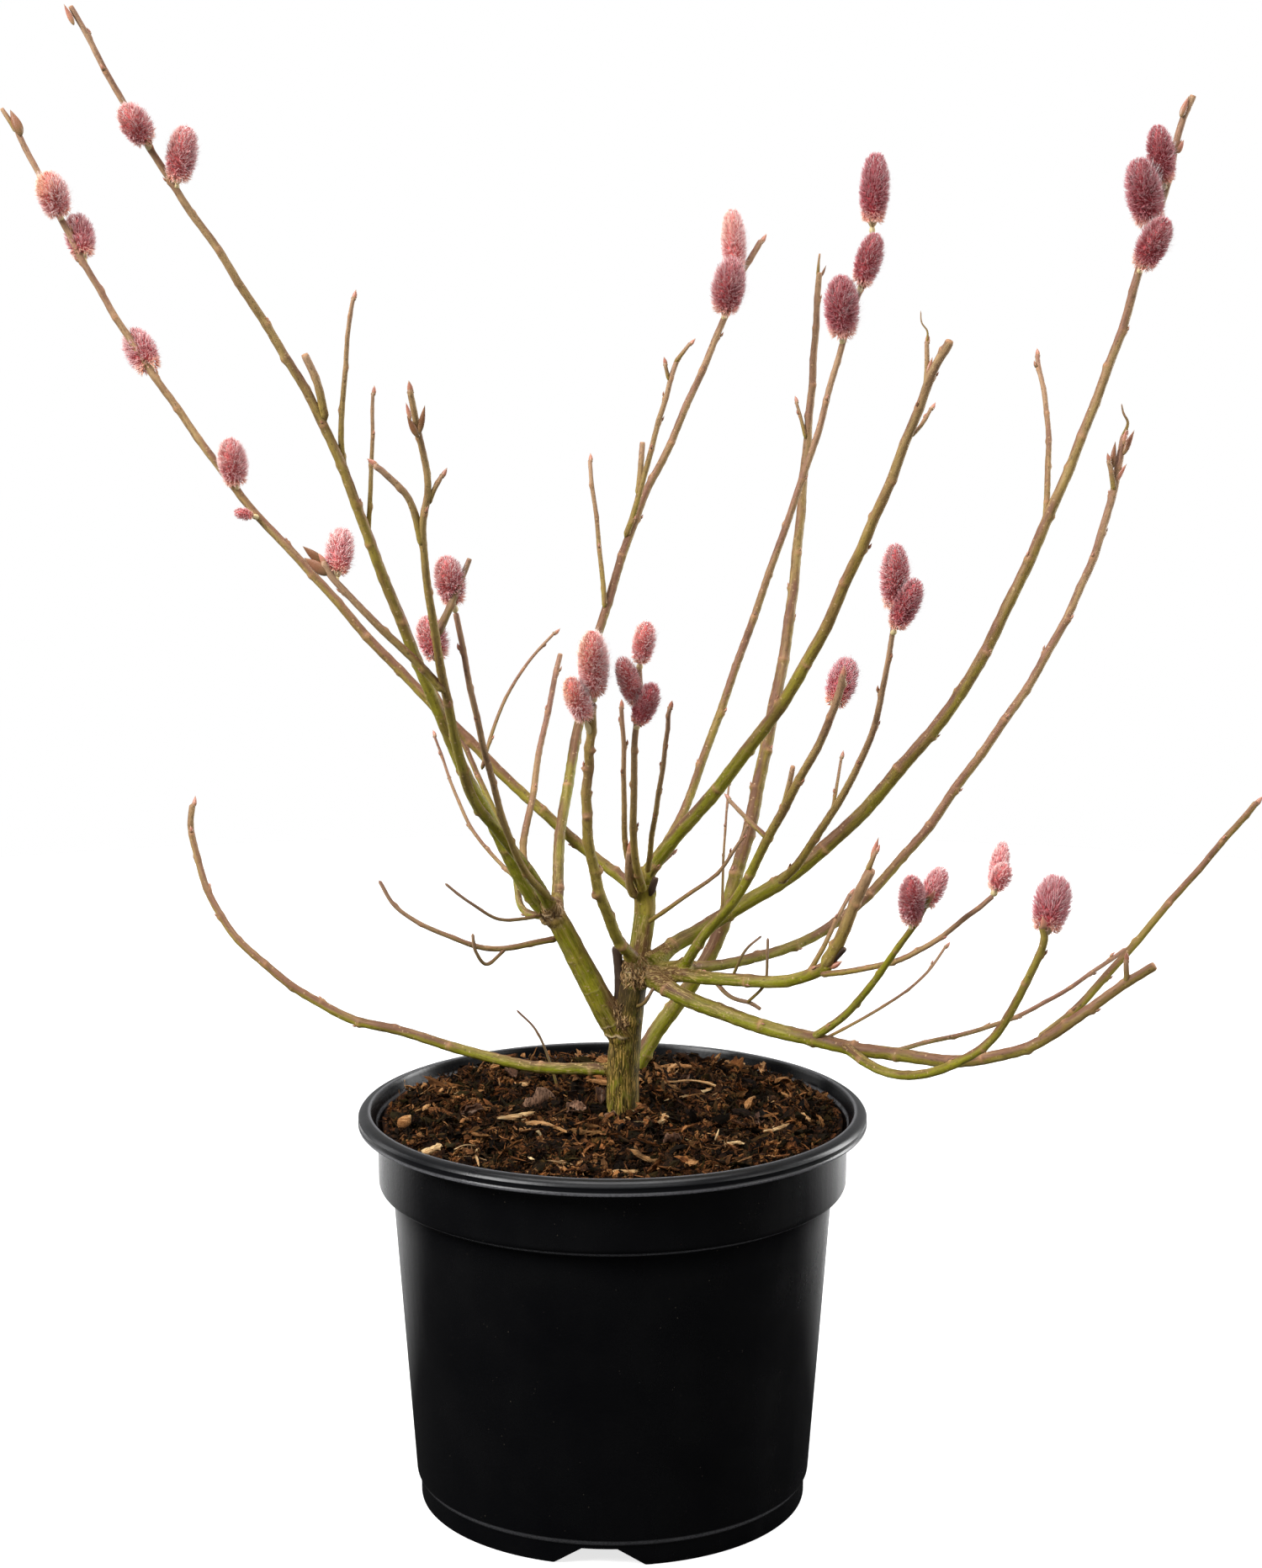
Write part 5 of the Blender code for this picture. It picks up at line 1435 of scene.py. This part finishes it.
def dead_leaf(batch, rng, place_at, size, turn, shade, curl, tilt):
    """A curled, crumpled leaf with a midrib, as a thin closed skin."""
    rows, columns = 21, 15
    u = np.linspace(-0.5, 0.5, rows)[:, None]
    v = np.linspace(-1, 1, columns)[None, :]
    uneven = 1 + 0.05 * np.sin(u * 31 + v * 2) + 0.06 * np.sin(u * 11 + 1)
    half = 0.30 * np.cos(u * math.pi * 0.96) ** 0.8 * uneven
    x = (u + 0 * v) * size
    flat_y = half * v * size
    seed = rng.uniform(0, 50)
    crumple = np.array([noise.noise(Vector((a / 4.5 + seed, b / 2.2, seed)))
                        + 0.35 * noise.noise(Vector((a, b, seed)))
                        for a, b in zip(x.ravel(), flat_y.ravel())])
    arc = 0.6 + 2.6 * curl
    y = half * size * np.sin(v * arc) / arc
    z = half * size * (1 - np.cos(v * arc)) / arc + crumple.reshape(x.shape) * 2.4
    top = np.stack([x, y + 0 * x, z + 0.12], -1).reshape(-1, 3)
    low = top - (0, 0, 0.24)
    n = rows * columns
    skin = grid_faces(rows, columns, wrap=False)
    points = np.arange(n).reshape(rows, columns)
    edge = [*points[:, 0], *points[-1, 1:], *points[-2::-1, -1], *points[0, -2:0:-1]]
    rim = np.array([(a, b, b + n, a + n) for a, b in zip(edge, edge[1:] + edge[:1])])
    verts = spun(np.vstack([top, low])[None], turn, *tilt)[0] + place_at
    # Painted shade: each leaf's tone follows its crumple, darker in the creases and lighter on the raised
    # folds
    look = np.stack([np.full(2 * n, shade) + np.tile(crumple * 0.4, 2),
                     np.tile(np.abs(v + 0 * u).ravel(), 2),
                     np.zeros(2 * n)], -1)
    keep_inside(verts)
    batch.add(verts * MM, [skin[:, ::-1], skin + n, rim[:, ::-1]], look)


# Pieces that stand out on the mulch: x, y, length, width, heading in degrees, tone, olive
LANDMARKS = [
    (-36, -17, 13.0, 4.2, 20, 0.87, 0.6), (-27, -26, 13.5, 2.6, -6, 0.78, 0.0),
    (-65, -50, 7.0, 3.4, 15, 0.90, 0.1),
    (-29, -60, 9.5, 1.7, 100, 0.98, 0.3), (-10, -36, 12.0, 4.8, -35, 0.55, 1.0),
    (-27, -37, 6.0, 1.3, 105, 0.97, 0.1),
    (-19, -36, 8.0, 2.2, 120, 0.72, 0.9), (28, 12, 17.0, 2.2, 24, 0.90, 0.1),
    (36, 26, 30.0, 1.5, -14, 0.80, 0.0),
    (30, 18, 15.0, 3.0, 8, 0.74, 0.0), (-2, 26, 14.0, 3.2, -4, 0.62, 0.3),
    (18, -22, 9.0, 2.5, 60, 0.84, 0.3),
    (52, 4, 14.0, 2.4, 75, 0.66, 0.2), (60, -30, 10.0, 2.0, 30, 0.86, 0.2),
    (12, -62, 11.0, 3.2, -28, 0.70, 0.7),
    (44, -50, 8.0, 3.0, 40, 0.90, 0.2), (-48, -40, 9.0, 3.6, -50, 0.60, 0.6),
    (-56, 20, 12.0, 3.4, 38, 0.62, 0.5),
    (-20, 48, 14.0, 3.0, 12, 0.58, 0.2), (26, 52, 13.0, 3.6, -30, 0.66, 0.1),
    (66, 36, 12.0, 2.6, 55, 0.60, 0.3),
    (-70, 2, 8.0, 2.4, 80, 0.75, 0.2), (4, -76, 9.0, 2.4, 5, 0.82, 0.3),
    (-44, 56, 12.0, 2.8, 62, 0.66, 0.3),
    (72, -8, 9.0, 2.0, -70, 0.78, 0.1), (-8, 70, 11.0, 2.4, 30, 0.72, 0.1),
    (48, 64, 9.0, 2.0, -20, 0.8, 0.2),
]
# Curled dead leaves: x, y, size, heading in radians, tone, curl
LEAVES = [
    (-27, 7, 15, 0.5, 0.90, 0.9), (-14, -6, 13, 2.4, 0.75, 0.5), (-4, 8, 12, 1.5, 0.30, 1.2),
    (-1, -13, 8, 0.2, 0.8, 0.4),
    (-40, 44, 12, 1.9, 0.25, 1.0), (28, 40, 12, 0.9, 0.30, 1.1), (54, -18, 11, 1.4, 0.25, 1.0),
    (-52, -12, 10, 2.8, 0.15, 1.1),
    (22, -46, 10, 0.7, 0.45, 0.9),
]
HUSK_AT = (-77.0, -16.0)
HUSK_RIDGES = 80          # higher is finer


def make_litter():
    """Layers of mulch from dark crumbs to pale chips, then straws, leaves and one snail-shaped husk."""
    scatter("mulch_crumbs", 9000, seed=20, lengths=(0.7, 2.8), slender=(0.40, 1.0), thick=0.7, tilt=0.8,
            lift=1.1, shades=(0.0, 0.74), power=1.3, rows=3, sides=5, ragged=0.6)
    scatter("mulch_fibres", 4400, seed=22, lengths=(1.4, 6.0), slender=(0.05, 0.15), thick=0.7, tilt=0.60,
            lift=1.9, shades=(0.05, 0.86), power=1.4, rows=4, sides=4)
    scatter("mulch_flakes", 1300, seed=21, lengths=(3.0, 9.5), slender=(0.18, 0.48), thick=0.30,
            tilt=0.50,
            lift=1.5, shades=(0.0, 0.78), power=1.7, ragged=0.5)
    scatter("mulch_slabs", 260, seed=25, lengths=(5.5, 15.0), slender=(0.13, 0.32), thick=0.35, tilt=0.34,
            lift=2.0, shades=(0.10, 0.66), power=1.4, reach=82.0, rows=8, ragged=0.45)
    scatter("mulch_straws", 150, seed=24, lengths=(5.0, 15.0), slender=(0.03, 0.07), thick=0.8, tilt=0.30,
            lift=2.0, shades=(0.40, 0.95), power=1.0, rows=6, sides=4)
    rng = np.random.default_rng(77)
    table = np.array(LANDMARKS, float)
    marked = Batch()
    count = len(table)
    lay(marked, rng, table[:, 0], table[:, 1], np.full(count, 1.7), table[:, 2], table[:, 3],
        0.28 * table[:, 3] + 0.3,
        np.radians(table[:, 4]), rng.normal(0, 0.12, count), rng.normal(0, 0.25, count), table[:, 5],
        np.zeros(count), table[:, 6], rows=9, sides=8, ragged=0.28)
    marked.build("mulch_landmarks", MULCH, smooth=False)
    leaves = Batch()
    for x, y, size, turn, shade, curl in LEAVES:
        place_at = (x, y, ground_height(x, y) + 1.6)
        tilt = (np.array([rng.uniform(-0.3, 0.3)]), np.array([rng.uniform(-0.9, 0.9)]))
        dead_leaf(leaves, rng, place_at, size, np.array([turn]), shade, curl * 0.42, tilt)
    leaves.build("dead_leaves", LEAF)
    make_husk()


def make_husk():
    """A brown seed husk with fine spiral ridges, lying near the left of the rim."""
    husk = Batch()
    centre = np.array((*HUSK_AT, ground_height(*HUSK_AT) + 2.6)) * MM
    verts, faces, share = blob(centre, (0.6, 0.1, 0.65), np.array((0.0, 1.0, 0.2)), 6.8 * MM, 5.4 * MM,
                               5.2 * MM,
                               point=0.5, rows=36, columns=28)
    ridges = 1 + 0.020 * np.sin(share * HUSK_RIDGES)
    verts = centre + (verts - centre) * ridges[:, None]
    tone = 0.56 + 0.30 * share ** 3 + 0.05 * np.sin(share * HUSK_RIDGES)
    husk.add(verts, faces, looks(tone))
    husk.build("seed_husk", MULCH)


# ---- stage -------------------------------------------------------------------------

CAMERA_PLACE = (0.0, -1.10, 0.470)
CAMERA_PITCH = 79.9
CAMERA_LENS = 69.5
CAMERA_SHIFT = 0.0118
FLOOR_R = 1300.0
ROOM_LIGHT = 0.20
ROOM_GLOSS = 0.03
# name: place, point it faces, size in m, power in W
LIGHTS = {
    "key_left": ((-1.2, -0.8, 1.3), (0, 0, 0.30), (0.8, 0.8), 50),
    "fill_right": ((1.5, -0.6, 0.8), (0, 0, 0.25), (0.7, 1.0), 9),
    "rim_left": ((-1.0, 0.55, 0.35), (0, 0, 0.12), (0.3, 0.9), 2.5),
    "rim_right": ((1.0, 0.55, 0.35), (0, 0, 0.12), (0.3, 0.9), 13),
    "backdrop": ((0.0, 1.7, 0.75), (0, 0, 0.35), (3.4, 1.5), 7),
    "top": ((0.0, 0.25, 1.7), (0, 0, 0.2), (1.0, 0.7), 20),
    "front_top": ((0.1, -1.0, 1.6), (0, 0, 0.25), (1.3, 0.5), 8),
}


def area_light(name, place_at, target, size, power):
    """A soft rectangular lamp that faces target."""
    light = bpy.data.lights.new(name, "AREA")
    light.shape = "RECTANGLE"
    light.size, light.size_y = size
    light.energy = power
    lamp = bpy.data.objects.new(name, light)
    lamp.location = place_at
    lamp.rotation_euler = (Vector(target) - Vector(place_at)).to_track_quat("-Z", "Y").to_euler()
    link(lamp)


def make_stage():
    """A pale floor and soft lights; reflections and bounce see a dimmer room, as with black flags."""
    floor = Shader("floor_white")
    path = floor.tree.nodes.new("ShaderNodeLightPath")
    seen = path.outputs["Is Camera Ray"]
    depth = floor.split(floor.node("TexCoord", output=3))[1]
    mirrored = floor.mix(floor.window(depth, 0.07, 0.46), (0.015, 0.015, 0.015), (0.70, 0.70, 0.70))
    bounced = floor.mix(path.outputs["Is Glossy Ray"], (0.20, 0.20, 0.20), mirrored)
    floor.finish(floor.mix(seen, bounced, (0.45, 0.45, 0.45)), 0.9, None, Specular_IOR_Level=0.0)
    floor.principled.inputs["Emission Color"].default_value = (1.0, 1.0, 1.0, 1.0)
    floor.wire(floor.times(seen, 0.75), floor.principled.inputs["Emission Strength"])
    outline = np.array([(0, 0), (400, 0), (FLOOR_R, 0), (FLOOR_R, -5), (0, -5)], float)
    disc = bpy.data.objects.new("floor", lathe("floor", outline, 96))
    disc.data.materials.append(floor.material)
    link(disc)
    world = bpy.data.worlds.new("studio")
    bpy.context.scene.world = world
    world.use_nodes = True
    tree = world.node_tree
    path = tree.nodes.new("ShaderNodeLightPath")
    power = tree.nodes.new("ShaderNodeMapRange")
    power.inputs["To Min"].default_value = ROOM_LIGHT
    power.inputs["To Max"].default_value = 1.0
    tree.links.new(path.outputs["Is Camera Ray"], power.inputs["Value"])
    dimmed = tree.nodes.new("ShaderNodeMapRange")
    dimmed.inputs["To Max"].default_value = ROOM_GLOSS
    tree.links.new(path.outputs["Is Glossy Ray"], dimmed.inputs["Value"])
    tree.links.new(power.outputs[0], dimmed.inputs["To Min"])
    tree.links.new(dimmed.outputs[0], tree.nodes["Background"].inputs["Strength"])
    tree.nodes["Background"].inputs["Color"].default_value = (1.0, 1.0, 1.0, 1.0)
    for name, setting in LIGHTS.items():
        area_light(name, *setting)


def make_camera():
    """The view of the whole plant from the front, a little above the pot's rim."""
    lens = bpy.data.cameras.new("camera")
    lens.lens = CAMERA_LENS
    lens.shift_x = CAMERA_SHIFT
    lens.clip_start = 0.05
    camera = bpy.data.objects.new("camera", lens)
    camera.location = CAMERA_PLACE
    camera.rotation_euler = (math.radians(CAMERA_PITCH), 0, 0)
    link(camera)
    bpy.context.scene.camera = camera
    bpy.context.scene.view_settings.view_transform = "Standard"


make_camera()
make_stage()
make_wood()
make_trunk()
make_large_buds()
for number, entry in enumerate(CATKINS, start=1):
    make_catkin(number, *entry, (f"catkin_{number:02d}",))
make_catkin(len(CATKINS) + 1, *DRIED_CATKIN, ())
make_pot()
make_ground()
make_litter()
